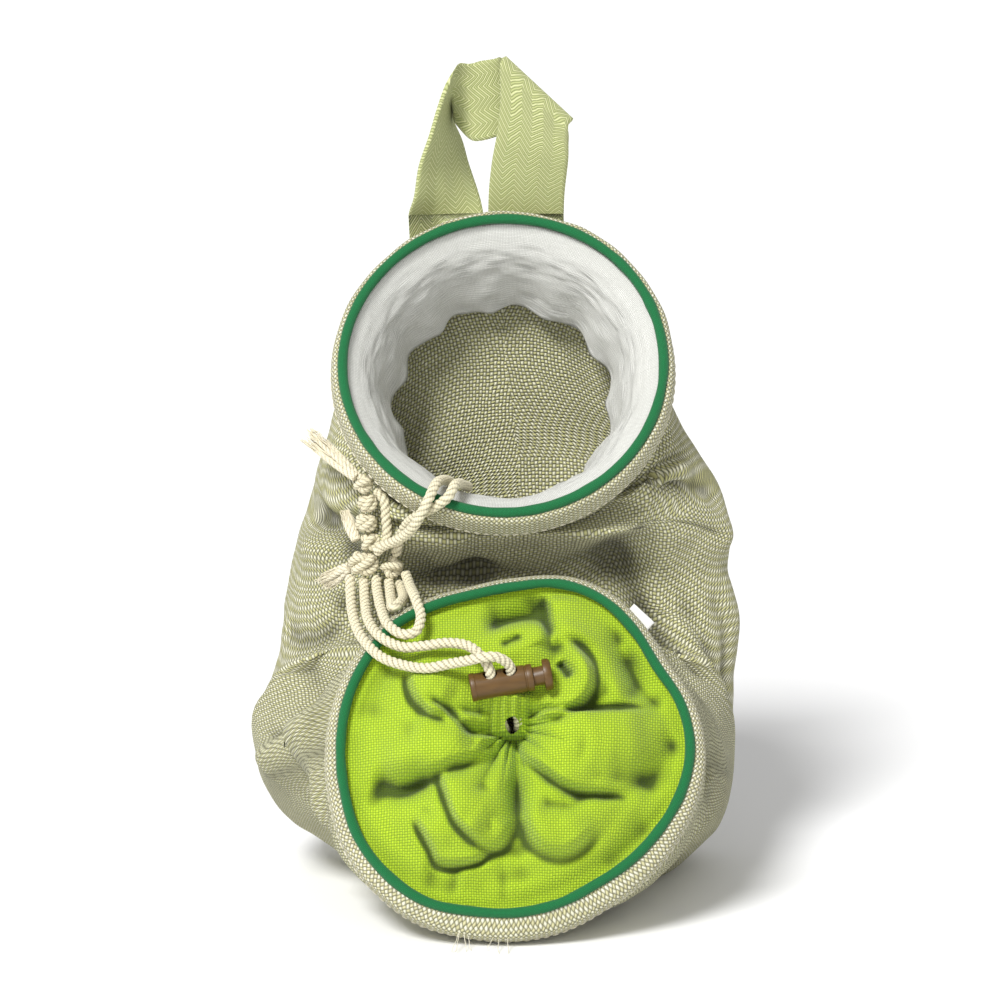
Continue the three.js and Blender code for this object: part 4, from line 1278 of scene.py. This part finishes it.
@dataclass
class Closure:
    """The gathered lime cotton that closes the sleeve.

    hole: radius of the gathered hole. rise, shift: how far it lies above and beside the middle.
    profile: how far inwards a row lies, from 0 at the piping to 1 at the hole, and its height as a
    share of the bulge. swells: each one's middle and its reach along and across its way as shares of
    the radius, its way in degrees and its rise as a share of the bulge. emphasis, spread, least,
    grooves: how far the creases' rise, reach, least reach and shadow lines are drawn out. fullness:
    how far the inner face lies below the wall.
    """

    columns: int = 400
    rows: int = 175
    wall: float = 1.2
    bulge: float = 13.0
    hole: float = 2.3
    rise: float = 6.4
    shift: float = -1.0
    emphasis: float = 1.6
    spread: float = 1.15
    least: float = 1.2
    grooves: float = 1.3
    fullness: float = 2.6
    inner_rows: int = 60
    profile: tuple[tuple[float, float], ...] = (
        (0, 0), (0.06, 0.02), (0.17, 0.3), (0.32, 0.68), (0.48, 0.9),
        (0.64, 1.0), (0.78, 0.86), (0.9, 0.4), (0.97, -0.25), (1.0, -0.75),
    )
    swells: tuple[tuple[float, ...], ...] = (
        (0.5, 0.02, 0.42, 0.16, 0, 0.3),
        (0.62, -0.22, 0.3, 0.1, 10, -0.5),
        (0.28, -0.42, 0.3, 0.18, 45, 0.3),
        (0.02, -0.36, 0.3, 0.08, 90, -0.5),
        (-0.22, -0.35, 0.34, 0.15, 62, 0.35),
        (-0.42, -0.42, 0.2, 0.14, 60, 0.2),
        (-0.62, -0.05, 0.3, 0.14, 12, 0.3),
        (-0.68, -0.24, 0.26, 0.1, 15, -0.4),
        (-0.46, 0.33, 0.22, 0.17, 120, 0.35),
        (-0.36, 0.13, 0.22, 0.09, 150, -0.35),
        (0.02, 0.6, 0.25, 0.15, 10, 0.25),
        (-0.02, 0.8, 0.28, 0.1, 10, -0.5),
        (0.4, 0.42, 0.24, 0.2, 60, 0.3),
        (0.22, 0.66, 0.3, 0.09, 95, -0.35),
        (0.72, 0.45, 0.32, 0.1, 125, -0.4),
        (0.5, 0.22, 0.26, 0.09, 170, -0.3),
        (0.0, -0.82, 0.5, 0.17, 0, -0.4),
        (-0.1, -0.62, 0.3, 0.08, 0, -0.3),
    )
    # Shares of the piping's radius, then rise, reach to the left and right and groove in mm.
    creases: tuple[tuple, ...] = (
        (((0.007, 0.152), (0.346, 0.167), (0.641, 0.182), (0.82, 0.2)), 3.2, 1.1, 8, 2.2),
        (((0.02, 0.0), (0.155, -0.117), (0.346, -0.237), (0.612, -0.252), (0.7, -0.274)),
         3.2, 8, 1.3, 2.6),
        (((0.7, -0.274), (0.833, -0.132), (0.94, 0.107)), -2.4, 4, 4, 0),
        (((0.007, 0.1), (0.012, -0.282), (0.03, -0.44)), -4.0, 1.8, 2.2, 0),
        (((0.037, -0.282), (0.125, -0.521), (0.228, -0.596), (0.346, -0.566), (0.464, -0.432)),
         2.6, 6, 1.8, 1.4),
        (((0.11, -0.357), (0.317, -0.357), (0.42, -0.267)), -2.2, 3.2, 3, 0),
        (((-0.435, -0.132), (-0.361, -0.372), (-0.302, -0.477), (-0.184, -0.559)), 3.2, 7, 1.1, 2.2),
        (((-0.302, -0.477), (-0.184, -0.559), (-0.111, -0.566), (-0.037, -0.432)), 2.2, 5, 1.5, 1.2),
        (((-0.096, 0.017), (-0.17, -0.192), (-0.214, -0.327)), -2.0, 2.6, 2.4, 0),
        (((-0.582, -0.387), (-0.479, -0.581), (-0.42, -0.671), (-0.243, -0.656), (-0.111, -0.581)),
         2.8, 6, 1.0, 2.4),
        (((-0.243, 0.017), (-0.302, 0.047), (-0.405, 0.152), (-0.553, 0.234)), 2.6, 8, 1.1, 2.0),
        (((-0.774, -0.267), (-0.612, -0.177), (-0.42, -0.102), (-0.243, -0.042), (-0.066, 0.032)),
         2.8, 8, 1.9, 1.8),
        (((-0.862, -0.207), (-0.685, -0.237), (-0.464, -0.192)), -3.2, 4, 4, 0),
        (((-0.597, 0.466), (-0.582, 0.317), (-0.494, 0.212), (-0.361, 0.167)), 2.8, 6, 1.3, 1.8),
        (((-0.361, 0.205), (-0.184, 0.182), (-0.037, 0.167)), -1.8, 1.3, 1.3, 0),
        (((-0.369, 0.122), (-0.243, 0.152), (-0.111, 0.137)), 1.8, 2, 1.6, 0.8),
        (((-0.302, 0.077), (-0.17, 0.062), (-0.037, 0.107)), -2.2, 1.1, 1.1, 0),
        (((-0.243, 0.017), (-0.037, 0.062)), 1.5, 1.5, 1.2, 1.0),
        (((0.037, 0.272), (0.169, 0.19), (0.287, 0.212), (0.405, 0.302), (0.42, 0.437),
          (0.346, 0.556), (0.243, 0.616)),
         3.2, 5, 1.3, 2.2),
        (((0.255, 0.49), (0.33, 0.38)), -3.4, 1.2, 1.2, 0),
        (((0.25, 0.64), (0.49, 0.5), (0.52, 0.317), (0.36, 0.182)), -2.2, 2.8, 2.8, 0),
        (((0.206, 0.93), (0.228, 0.766), (0.236, 0.571)), 3.0, 8, 1.0, 2.8),
        (((0.553, 0.751), (0.626, 0.571), (0.7, 0.362), (0.612, 0.227)), -2.2, 2.6, 2.6, 0),
        (((0.641, 0.616), (0.774, 0.317), (0.892, 0.212)), -2.2, 3, 3, 0),
        (((-0.2, 0.72), (0.052, 0.79), (0.2, 0.87)), -3.8, 4, 4, 0),
        (((0.214, 0.556), (0.199, 0.631), (0.096, 0.721), (-0.037, 0.706), (-0.17, 0.631)),
         2.8, 4, 1.4, 1.4),
        (((-0.096, 0.571), (0.052, 0.646)), -1.8, 1.5, 1.5, 0),
        (((-0.074, -0.62), (-0.074, -0.93)), -0.4, 0.6, 0.6, 0),
        (((-0.3, -0.78), (-0.55, -0.72)), -1.6, 4, 4, 0),
        (((0.5, -0.75), (0.7, -0.6), (0.8, -0.4)), -1.4, 4, 4, 0),
        (((-0.86, 0.1), (-0.78, 0.4), (-0.6, 0.62)), -1.6, 4, 4, 0),
    )

    def over_strands(self, across: Array, above: Array, height: Array) -> Array:
        """The height with a lip of cloth drawn over the strands where they leave the hole."""
        front = 18.0 + 1.26 * (above - 7.2) + 0.6 * np.cos(1.9 * across) - SEAM_RISE
        cover = window(across, -2.8, 7.5) * smoothstep(above, 2.2, 4.8)
        cover = cover * np.exp(-((np.maximum(above - 13.6, 0) / 2.8) ** 2))
        return height + cover * np.maximum(front - height, 0)

    def build(self, material: bpy.types.Material) -> bpy.types.Object:
        """The pillow of cloth with its radial petals and puckers."""
        share = np.linspace(0, 1, self.columns + 1)
        angle = 360 * share[:-1][None, :]
        t = np.linspace(0, 1, self.rows)[:, None]
        inward, up = np.moveaxis(blend(np.array(self.profile, float), t), -1, 0)
        rim = SLEEVE.inner(angle) - GAP
        reach = rim + (self.hole - rim) * inward
        drift = inward**2
        turn = np.radians(angle)
        across = reach * np.cos(turn) + drift * self.shift
        above = reach * np.sin(turn) + drift * self.rise
        radius = SLEEVE.radius - SLEEVE.thickness
        loose = np.sin(math.pi * np.clip(inward * 1.05, 0, 1))
        swell = np.zeros(across.shape)
        for x, y, long, broad, way, rise in self.swells:
            cos, sin = math.cos(math.radians(way)), math.sin(math.radians(way))
            dx, dy = across / radius - x, above / radius - y
            onward, aside = (dx * cos + dy * sin) / long, (dy * cos - dx * sin) / broad
            swell += rise * np.exp(-(onward**2) - aside**2)
        height = self.bulge * (up + loose * swell)
        detail = 0.35 * ripple(angle / 360, inward, 21, 3, 12)
        for line, rise, left, right, groove in self.creases:
            places = tuple((x * radius, y * radius) for x, y in line)
            reaches = (max(self.least, self.spread * side) for side in (left, right))
            crease = Crease(places, self.emphasis * rise, *reaches, self.grooves * groove)
            detail = detail + crease.height(across, above)
        away = reach - self.hole
        wave = np.abs(np.cos(np.radians(6.5 * angle + 40 * np.sin(3 * turn))))
        puckers = 3.2 * (wave**0.7 - 0.6) * np.exp(-((away / 11) ** 2))
        held = smoothstep(inward, 0.0, 0.1) * (1 - 0.7 * smoothstep(inward, 0.93, 1.0))
        height = height + (softened(detail, 1) + puckers) * held
        height = self.over_strands(across, above, height)
        outer = SLEEVE.place(across, above, SEAM_RISE + height)
        inside = np.linspace(self.rows - 1, 0, self.inner_rows).astype(int)
        sunk = self.wall + self.fullness * np.sin(math.pi * np.clip(inward[inside], 0, 1)) ** 0.5
        inner = outer[inside] - SLEEVE.out * sunk[..., None]
        normals = normals_of(outer)
        normals *= np.sign((normals * SLEEVE.out).sum(axis=2).mean())
        # Painted shade in the cloth's valleys and beside its creases.
        painted_shade = painted_shade_of(outer, normals, 7, 1.05)
        flat = np.stack([across, above], axis=-1)
        cloth = np.concatenate([flat, flat[inside], flat[:1]])
        cloth = np.concatenate([cloth, cloth[:, :1]], axis=1)
        shaded = np.concatenate([painted_shade, np.zeros(inner.shape[:2])])
        patch = Patch(np.concatenate([outer, inner]), cloth, close_rows=True, painted_shade=shaded)
        return settle(build("gathered_closure", [patch], material), ("sleeve_closure",))


@dataclass
class Lining:
    """The white lining that hangs into the mouth in gathers.

    profile: how far inwards and down a row lies and how deep its gathers are, as shares of the depth.
    """

    depth: float = 32.0
    wall: float = 1.2
    gathers: int = 11
    columns: int = 264
    rows: int = 30
    profile: tuple[tuple[float, ...], ...] = (
        (0.0, 0.0, 0.0),
        (0.2, 0.2, 0.005),
        (0.33, 0.5, 0.02),
        (0.47, 1.0, 0.045),
    )

    def build(self, material: bpy.types.Material) -> bpy.types.Object:
        """Both faces of the lining."""
        share = np.linspace(0, 1, self.columns + 1)
        angle = 360 * share[:-1][None, :]
        t = np.linspace(0, 1, self.rows)[:, None]
        inward, down, gather = np.moveaxis(blend(np.array(self.profile), t), -1, 0)
        swing = gather * np.cos(np.radians(angle * self.gathers))
        swing = swing + 0.012 * smoothstep(t, 0, 0.4) * ripple(angle / 360, t, 31, 5, 30)
        faces = []
        for sunk in (0.0, self.wall):
            reach = MOUTH.inner(angle) - (inward + swing) * self.depth - GAP - sunk
            faces.append(MOUTH.point(angle, reach, SEAM_RISE - down * self.depth))
        grid = np.concatenate([faces[1], faces[0][::-1]])
        v = np.concatenate([t[:, 0], t[::-1, 0], [0.0]]) * self.depth * 1.15
        cloth = np.stack(np.meshgrid(share * 2 * math.pi * MOUTH.radius, v), axis=-1)
        patch = Patch(grid, cloth, close_rows=True)
        return settle(build("lining_cloth", [patch], material), ("mouth_lining",))


@dataclass
class HangingLoop:
    """The herringbone tape over the mouth, folded over one corner and twisted at the other.

    stations: each one's place across, back and up as shares of the height, the turn and the tilt in
    degrees of the way its width points, and its share of the width. rows: how many steps of the
    canvas the feet are counted on.
    """

    width: float = 25.0
    thickness: float = 1.4
    height: float = 54.0
    steps: int = 220
    rows: int = 24
    stations: tuple[tuple[float, ...], ...] = (
        (-0.35, 0.05, 0.03, 8, 0, 1),
        (-0.35, 0.03, 0.16, 34, 2, 1),
        (-0.36, 0.03, 0.34, 51, -5, 1),
        (-0.35, 0.03, 0.5, 66, -10, 1),
        (-0.35, 0.03, 0.65, 80, -17, 1),
        (-0.33, 0.03, 0.755, 87, -24, 1),
        (-0.28, 0.02, 0.77, 90, -58, 1),
        (-0.2, 0.01, 0.73, 70, -84, 1.03),
        (-0.12, 0.01, 0.74, 20, -86, 1.05),
        (0.0, 0.01, 0.77, 0, -79, 1),
        (0.12, 0.02, 0.8, 0, -56, 1.05),
        (0.19, 0.02, 0.8, 0, -44, 1.22),
        (0.215, -0.03, 0.815, 0, -43, 1.22),
        (0.19, -0.08, 0.79, 0, -43, 1.22),
        (0.19, -0.085, 0.72, 0, -41, 1.2),
        (0.19, -0.08, 0.62, 0, -32, 1.06),
        (0.18, -0.06, 0.47, 0, -20, 1),
        (0.16, -0.02, 0.33, 0, -10, 1),
        (0.145, 0.02, 0.18, 0, -4, 1),
        (0.14, 0.05, 0.03, 0, 0, 1),
    )

    def foot(self, sack: Sack, across: float, row: int) -> tuple[Array, Array]:
        """Where a foot lies on the canvas: its middle and the way its width points."""
        top = float(MOUTH.outer(np.array(90.0)))
        angle = math.degrees(math.acos(across * self.height / top))
        places = ((row, angle), (row, angle - 3), (row, angle + 3), (row + 1, angle))
        middle, one, other, onward = (
            sack.points(np.array(along / self.rows), np.array(around)) for along, around in places
        )
        wide = (one - other) / np.linalg.norm(one - other)
        outward = np.cross(wide, onward - middle)
        outward /= np.linalg.norm(outward)
        return middle + outward * (self.thickness / 2 + GAP), wide

    def build(self, sack: Sack, material: bpy.types.Material) -> bpy.types.Object:
        """The whole run of the tape, from foot to foot."""
        seat = MOUTH.point(90, MOUTH.outer(np.array(90.0)), 0)
        table = blend(np.array(self.stations, float), np.linspace(0, 1, self.steps))
        across, back, up, turn, tilt, span = table.T
        turn, tilt = np.radians(turn), np.radians(tilt)
        wide = np.stack([np.cos(turn) * np.cos(tilt), np.sin(turn) * np.cos(tilt), np.sin(tilt)], axis=1)
        middle = np.stack([across, back, up], axis=1) * self.height + seat
        half = span * self.width / 2
        first, last = self.stations[0][0], self.stations[-1][0]
        feet = [self.foot(sack, x, row) for x, row in ((first, 1), (first, 0), (last, 0), (last, 1))]
        at, ways = zip(*feet)
        middle = np.vstack([*at[:2], middle, *at[2:]])
        wide = np.vstack([*ways[:2], wide, *ways[2:]])
        half = np.concatenate([[self.width / 2] * 2, half, [self.width / 2] * 2])
        onward = np.gradient(middle, axis=0)
        thick = np.cross(onward, wide)
        thick /= np.linalg.norm(thick, axis=1, keepdims=True)
        flat = np.concatenate([[-0.985, -0.9], np.linspace(-0.7, 0.7, 7), [0.9, 0.985]])
        section = [(w, 0.5) for w in flat] + [(1.0, 0.0)] + [(w, -0.5) for w in flat[::-1]] + [(-1.0, 0.0)]
        lines = [middle + wide * (w * half)[:, None] + thick * (n * self.thickness) for w, n in section]
        grid = np.stack(lines, axis=1)
        run = np.concatenate([[0], np.cumsum(np.linalg.norm(np.diff(middle, axis=0), axis=1))])
        sides = np.array([w for w, _ in section] + [section[0][0]]) * self.width / 2
        cloth = np.stack(np.meshgrid(sides, run), axis=-1)
        made = build("hanging_tape", [Patch(grid, cloth)], material)
        return settle(made, ("hanging_loop",))


@dataclass
class CareLabel:
    """The blank white tab in the sleeve's seam."""

    width: float = 9.0
    height: float = 4.6
    thickness: float = 0.9
    angle: float = 47.0

    def build(self, material: bpy.types.Material) -> bpy.types.Object:
        """The tab, with a slight curl."""
        angle = np.array(self.angle)
        reach = float(SLEEVE.outer(angle)) + self.height / 2 - 1.6
        radial = SLEEVE.point(angle, 1.0, 0.0) - SLEEVE.centre
        side = np.cross(radial, SLEEVE.out)
        middle = SLEEVE.point(angle, reach, GAP + 0.5)
        x = np.concatenate([np.linspace(-1, 1, 13), np.linspace(1, -1, 13)]) * self.width / 2
        z = np.concatenate([np.full(13, 0.5), np.full(13, -0.5)]) * self.thickness
        rows = []
        for t in np.linspace(-0.5, 0.5, 9):
            curl = 0.35 * np.sin(2 * x / self.width + 3 * t)
            thin = z + curl
            rows.append(middle + x[:, None] * side + t * self.height * radial + thin[:, None] * SLEEVE.out)
        u = np.append(x, x[0])
        cloth = np.stack(np.meshgrid(u, np.linspace(0, self.height, 9)), axis=-1)
        made = build("care_tab", [Patch(np.array(rows), cloth)], material)
        return settle(made, ("care_label",))


# The cord lock


@dataclass
class CordLock:
    """The barrel with its two cord holes and the plunger that clamps both strands.

    turn, tip: how far it is turned in the sleeve's plane and tipped out of it, in degrees. place: its
    middle across and above the sleeve's middle, and along the sleeve's axis.
    """

    length: float = 20.0
    diameter: float = 8.6
    bore: float = 6.6
    hole: float = 4.6
    pitch: float = 6.4
    plunger: float = 6.0
    neck: float = 3.5
    head: float = 10.0
    head_length: float = 2.6
    sides: int = 72
    turn: float = 10.0
    tip: float = 45.0
    place: tuple[float, float, float] = (-1.4, 19.1, 26.4)
    middle: float = field(init=False)
    holes: tuple[float, float] = field(init=False)
    head_start: float = field(init=False)
    stroke: float = field(init=False)
    shaft_start: float = field(init=False)

    def __post_init__(self) -> None:
        """Works out the places along the lock, counted from its middle."""
        self.middle = -(self.neck + self.head_length) / 2
        self.holes = (self.middle - self.pitch / 2, self.middle + self.pitch / 2)
        self.head_start = self.length / 2 + self.neck + self.middle
        self.stroke = self.neck - 1.1
        self.shaft_start = self.holes[0] - self.hole / 2 - 0.8

    def frame(self) -> Matrix:
        """The lock's own frame on the sleeve's ring, in metres."""
        turn, tip = math.radians(self.turn), math.radians(self.tip)
        right = np.array([1.0, 0, 0])
        along = right * math.cos(turn) + SLEEVE.up * math.sin(turn)
        over = -right * math.sin(turn) + SLEEVE.up * math.cos(turn)
        holes = SLEEVE.out * math.cos(tip) + over * math.sin(tip)
        made = Matrix.Identity(4)
        axes = (along, np.cross(holes, along), holes, SLEEVE.place(*self.place) * METRES)
        for column, axis in enumerate(axes):
            for row in range(3):
                made[row][column] = float(axis[row])
        return made

    def turned(self, name: str, profile: list[tuple[float, float]]) -> bpy.types.Object:
        """A solid turned about X from places along it and radii, closed at both ends."""
        rings = []
        for x, radius in profile:
            angle = np.linspace(0, 2 * math.pi, self.sides, endpoint=False)
            ring = [np.full(self.sides, x), radius * np.cos(angle), radius * np.sin(angle)]
            rings.append(np.stack(ring, axis=1))
        cloth = np.zeros((len(rings), self.sides + 1, 2))
        return build(name, [Patch(np.array(rings), cloth)], None)

    def cut(self, made: bpy.types.Object, tools: list[bpy.types.Object]) -> None:
        """Cuts the tools out of the piece and takes them away."""
        for tool in tools:
            modifier = made.modifiers.new(tool.name, "BOOLEAN")
            modifier.operation, modifier.solver, modifier.object = "DIFFERENCE", "EXACT", tool
        applied(made)
        for tool in tools:
            bpy.data.objects.remove(tool)

    def through(self, name: str, x: float) -> bpy.types.Object:
        """A cutter for a hole across the lock."""
        tool = self.turned(name, [(-8, self.hole / 2), (8, self.hole / 2)])
        turn = Matrix.Translation((x * METRES, 0, 0)) @ Matrix.Rotation(math.pi / 2, 4, "Y")
        tool.data.transform(turn)
        return tool

    def finish(self, made: bpy.types.Object, material: bpy.types.Material) -> None:
        """Rounds the edges a little and puts the piece in its place."""
        bevel = made.modifiers.new("edges", "BEVEL")
        bevel.width, bevel.segments, bevel.limit_method = 0.00022, 2, "ANGLE"
        bevel.angle_limit = math.radians(35)
        applied(made)
        made.data.transform(self.frame())
        made.data.materials.clear()
        made.data.materials.append(material)
        made.data.set_sharp_from_angle(angle=math.radians(32))

    def build(self, material: bpy.types.Material) -> None:
        """The barrel and the plunger."""
        start, end = self.middle - self.length / 2, self.middle + self.length / 2
        radius = self.diameter / 2
        rim = [(start, 0.97), (start + 0.3, 1.05), (start + 1.5, 1.05), (start + 1.8, 1)]
        ring = [(end - 2.6, 1), (end - 2.4, 0.94), (end - 2.0, 0.94), (end - 1.8, 1), (end, 1)]
        barrel = self.turned("lock_barrel", [(x, radius * share) for x, share in rim + ring])
        deepest = self.shaft_start - self.stroke - 0.3
        bore = self.turned("bore", [(deepest, self.bore / 2), (end + 1, self.bore / 2)])
        self.cut(barrel, [bore, *[self.through(f"hole_{k}", x) for k, x in enumerate(self.holes)]])
        self.finish(barrel, material)
        settle(barrel, ("toggle_barrel",))
        shaft, head, far = self.plunger / 2, self.head / 2, self.head_start + self.head_length
        profile = [(self.shaft_start, shaft), (self.head_start, shaft), (self.head_start + 0.05, head)]
        profile += [(far - 0.9, head), (far - 0.4, head * 0.94), (far, head * 0.8)]
        plunger = self.turned("lock_plunger", profile)
        bm = bmesh.new()
        bmesh.ops.create_cube(bm, size=METRES)
        slot_start, slot_end = self.holes[0], self.holes[1] + self.stroke
        size = Matrix.Diagonal((slot_end - slot_start, self.hole, 2 * self.plunger, 1))
        place = Matrix.Translation(((slot_start + slot_end) / 2 * METRES, 0, 0))
        bm.transform(place @ size)
        mesh = bpy.data.meshes.new("slot")
        bm.to_mesh(mesh)
        bm.free()
        slot = show("slot", mesh, None)
        self.cut(plunger, [slot, self.through("slot_a", slot_start), self.through("slot_b", slot_end)])
        self.finish(plunger, material)
        settle(plunger, ("toggle_plunger",), "plunger")


# The whole bag


@dataclass
class Drawcords:
    """Every strand, knot and frayed end of the two drawcords."""

    knots: tuple[Knot, ...] = (
        Knot("knot_top", -44.2, -3.2, 137.7, 0.93, 0.93, 0.93, 3, tilt=0.5),
        Knot("knot_upper", -42.9, -2.9, 131.2, 1.0, 0.95, 0.86, 4, tilt=-0.2),
        Knot("knot_middle", -43.4, -4.2, 125.0, 1.1, 0.98, 0.86, 5, tilt=0.15),
        Knot("knot_lower", -42.0, -5.2, 118.8, 1.05, 0.98, 0.86, 3, tilt=-0.1),
        Knot("knot_main", -44.2, -6.4, 112.0, 1.5, 1.25, 1.12, 4, strand=1.5, tilt=0.1),
        Knot("knot_side", -34.9, -6.6, 110.8, 1.05, 1.05, 1.05, 3, tilt=0.9),
    )
    frayed: tuple[FrayedEnd, ...] = (
        FrayedEnd("frayed_end_top", (-46.4, -0.9, 139.4), (-62.4, 12.0, 150.6), 3.0, 41),
        FrayedEnd("frayed_end_middle", (-46.6, -4.8, 119.4), (-50.3, 0.6, 127.6), 1.6, 42),
        FrayedEnd("frayed_end_low", (-49.0, -4.8, 110.3), (-57.6, 2.6, 103.2), 2.8, 43),
    )

    def build(self) -> None:
        """Makes the strands first, then what is tied into them."""
        cotton, frayed = COTTON.material(), FRAYED.material()
        strands = {node: DrawCord(node) for node in ROUTES}
        for strand in strands.values():
            strand.build(cotton)
        tool = fibre_tool()
        tied = {knot.node: knot.build(cotton) for knot in self.knots}
        ends = {end.node: end.build(tool, frayed) for end in self.frayed}
        strands["closure_cord_upper"].with_pieces = [
            tied["knot_lower"], tied["knot_main"], *ends["frayed_end_middle"], *ends["frayed_end_low"],
        ]
        strands["mouth_cord_lower"].with_pieces = [
            tied["knot_top"], tied["knot_upper"], tied["knot_middle"], *ends["frayed_end_top"],
            strands["knot_strand"].piece,
        ]
        strands["cord_bight"].with_pieces = [tied["knot_side"]]
        for strand in strands.values():
            strand.declare()


@dataclass
class Studio:
    """The camera, the pale floor and soft light from the front left."""

    elevation: float = 12.0
    distance: float = 1.6
    lens: float = 180.0
    target: tuple[float, float, float] = (0.0, -0.02, 0.1359)

    def place_camera(self) -> None:
        """The camera at the photo's angle."""
        data = bpy.data.cameras.new("camera")
        data.lens, data.sensor_width = self.lens, 36.0
        camera = bpy.data.objects.new("camera", data)
        rise = math.radians(self.elevation)
        target = Vector(self.target)
        away = Vector((0, -math.cos(rise), math.sin(rise)))
        camera.location = target + self.distance * away
        camera.rotation_euler = away.to_track_quat("Z", "Y").to_euler()
        bpy.context.scene.collection.objects.link(camera)
        bpy.context.scene.camera = camera

    def floor(self) -> None:
        """A wide plain floor."""
        half = 7.0
        mesh = bpy.data.meshes.new("floor")
        corners = [(-half, -half, 0), (half, -half, 0), (half, half, 0), (-half, half, 0)]
        mesh.from_pydata(corners, [], [(0, 1, 2, 3)])
        g = Graph("floor")
        shader = g.node("ShaderNodeBsdfPrincipled", {"Base Color": (0.93, 0.93, 0.93, 1), "Roughness": 0.9})
        out = g.node("ShaderNodeOutputMaterial")
        g.tree.links.new(shader.outputs[0], out.inputs[0])
        show("floor", mesh, g.material)

    def light(
        self, name: str, kind: str, place: tuple[float, float, float], size: float, power: float
    ) -> None:
        """A soft light that faces the bag: a square one, or a far one whose size is its angle."""
        data = bpy.data.lights.new(name, kind)
        data.energy = power
        if kind == "SUN":
            data.angle = size
        else:
            data.size = size
        made = bpy.data.objects.new(name, data)
        made.location = place
        made.rotation_euler = (Vector(place) - Vector(self.target)).to_track_quat("Z", "Y").to_euler()
        bpy.context.scene.collection.objects.link(made)

    def build(self) -> None:
        """The floor, the lights and the white surround."""
        self.floor()
        self.light("key", "SUN", (-0.75, -1.5, 1.8), 0.3, 3.3)
        self.light("front", "AREA", (-0.3, -1.9, 0.7), 0.9, 4.0)
        world = bpy.data.worlds.new("surround")
        world.use_nodes = True
        ground = world.node_tree.nodes["Background"]
        ground.inputs["Color"].default_value = (1, 1, 1, 1)
        ground.inputs["Strength"].default_value = 0.5
        bpy.context.scene.world = world
        bpy.context.scene.view_settings.view_transform = "Standard"


@dataclass
class LooseThreads:
    """A few thread ends under the front of the sleeve's hem, between two angles in degrees."""

    count: int = 7
    start: float = 246.0
    end: float = 268.0
    seed: int = 8

    def build(self, tool: NodeTool, material: bpy.types.Material) -> None:
        """Lets each thread hang from the hem to just above the floor."""
        rng = np.random.default_rng(self.seed)
        lines = []
        for angle in rng.uniform(self.start, self.end, self.count):
            root = SLEEVE.point(angle, SLEEVE.outer(np.array(angle)) - 0.6, 7.5)
            t = np.linspace(0, 1, 8)[:, None]
            reach = np.array([rng.uniform(-4, 4), rng.uniform(-6, -2), -root[2] + 0.4])
            lines.append(root + t * reach)
        values = {"Radius": 0.00012, "Wander": 0.003, "Seed": float(self.seed), "Material": material}
        settle(tool.run("loose_threads", lines, values))


def main() -> None:
    """Builds the whole scene in order."""
    logging.basicConfig(level=logging.INFO, format="%(message)s")
    studio = Studio()
    studio.place_camera()
    Drawcords().build()
    thread, hem_canvas, piping = THREAD.material(), HEM_CANVAS.material(), PIPING.material()
    stitches = stitch_tool()
    hems, pipings = {}, {}
    for name, ring, seed in (("sleeve", SLEEVE, 11), ("mouth", MOUTH, 15)):
        pieces = RingPieces(name, ring, seed)
        hems[name] = pieces.build_hem(hem_canvas)
        pipings[name] = pieces.build_piping(piping)
        pieces.build_stitches(stitches, thread)
    sack = Sack()
    canvas = sack.build(CANVAS.material())
    closure = Closure().build(LIME.material())
    lining = Lining().build(LINING.material())
    loop = HangingLoop()
    tape = loop.build(sack, TAPE.material())
    CareLabel().build(LABEL.material())
    CordLock().build(PLASTIC.material())
    LooseThreads().build(fibre_tool(), thread)
    studio.build()


if __name__ == "__main__":
    main()
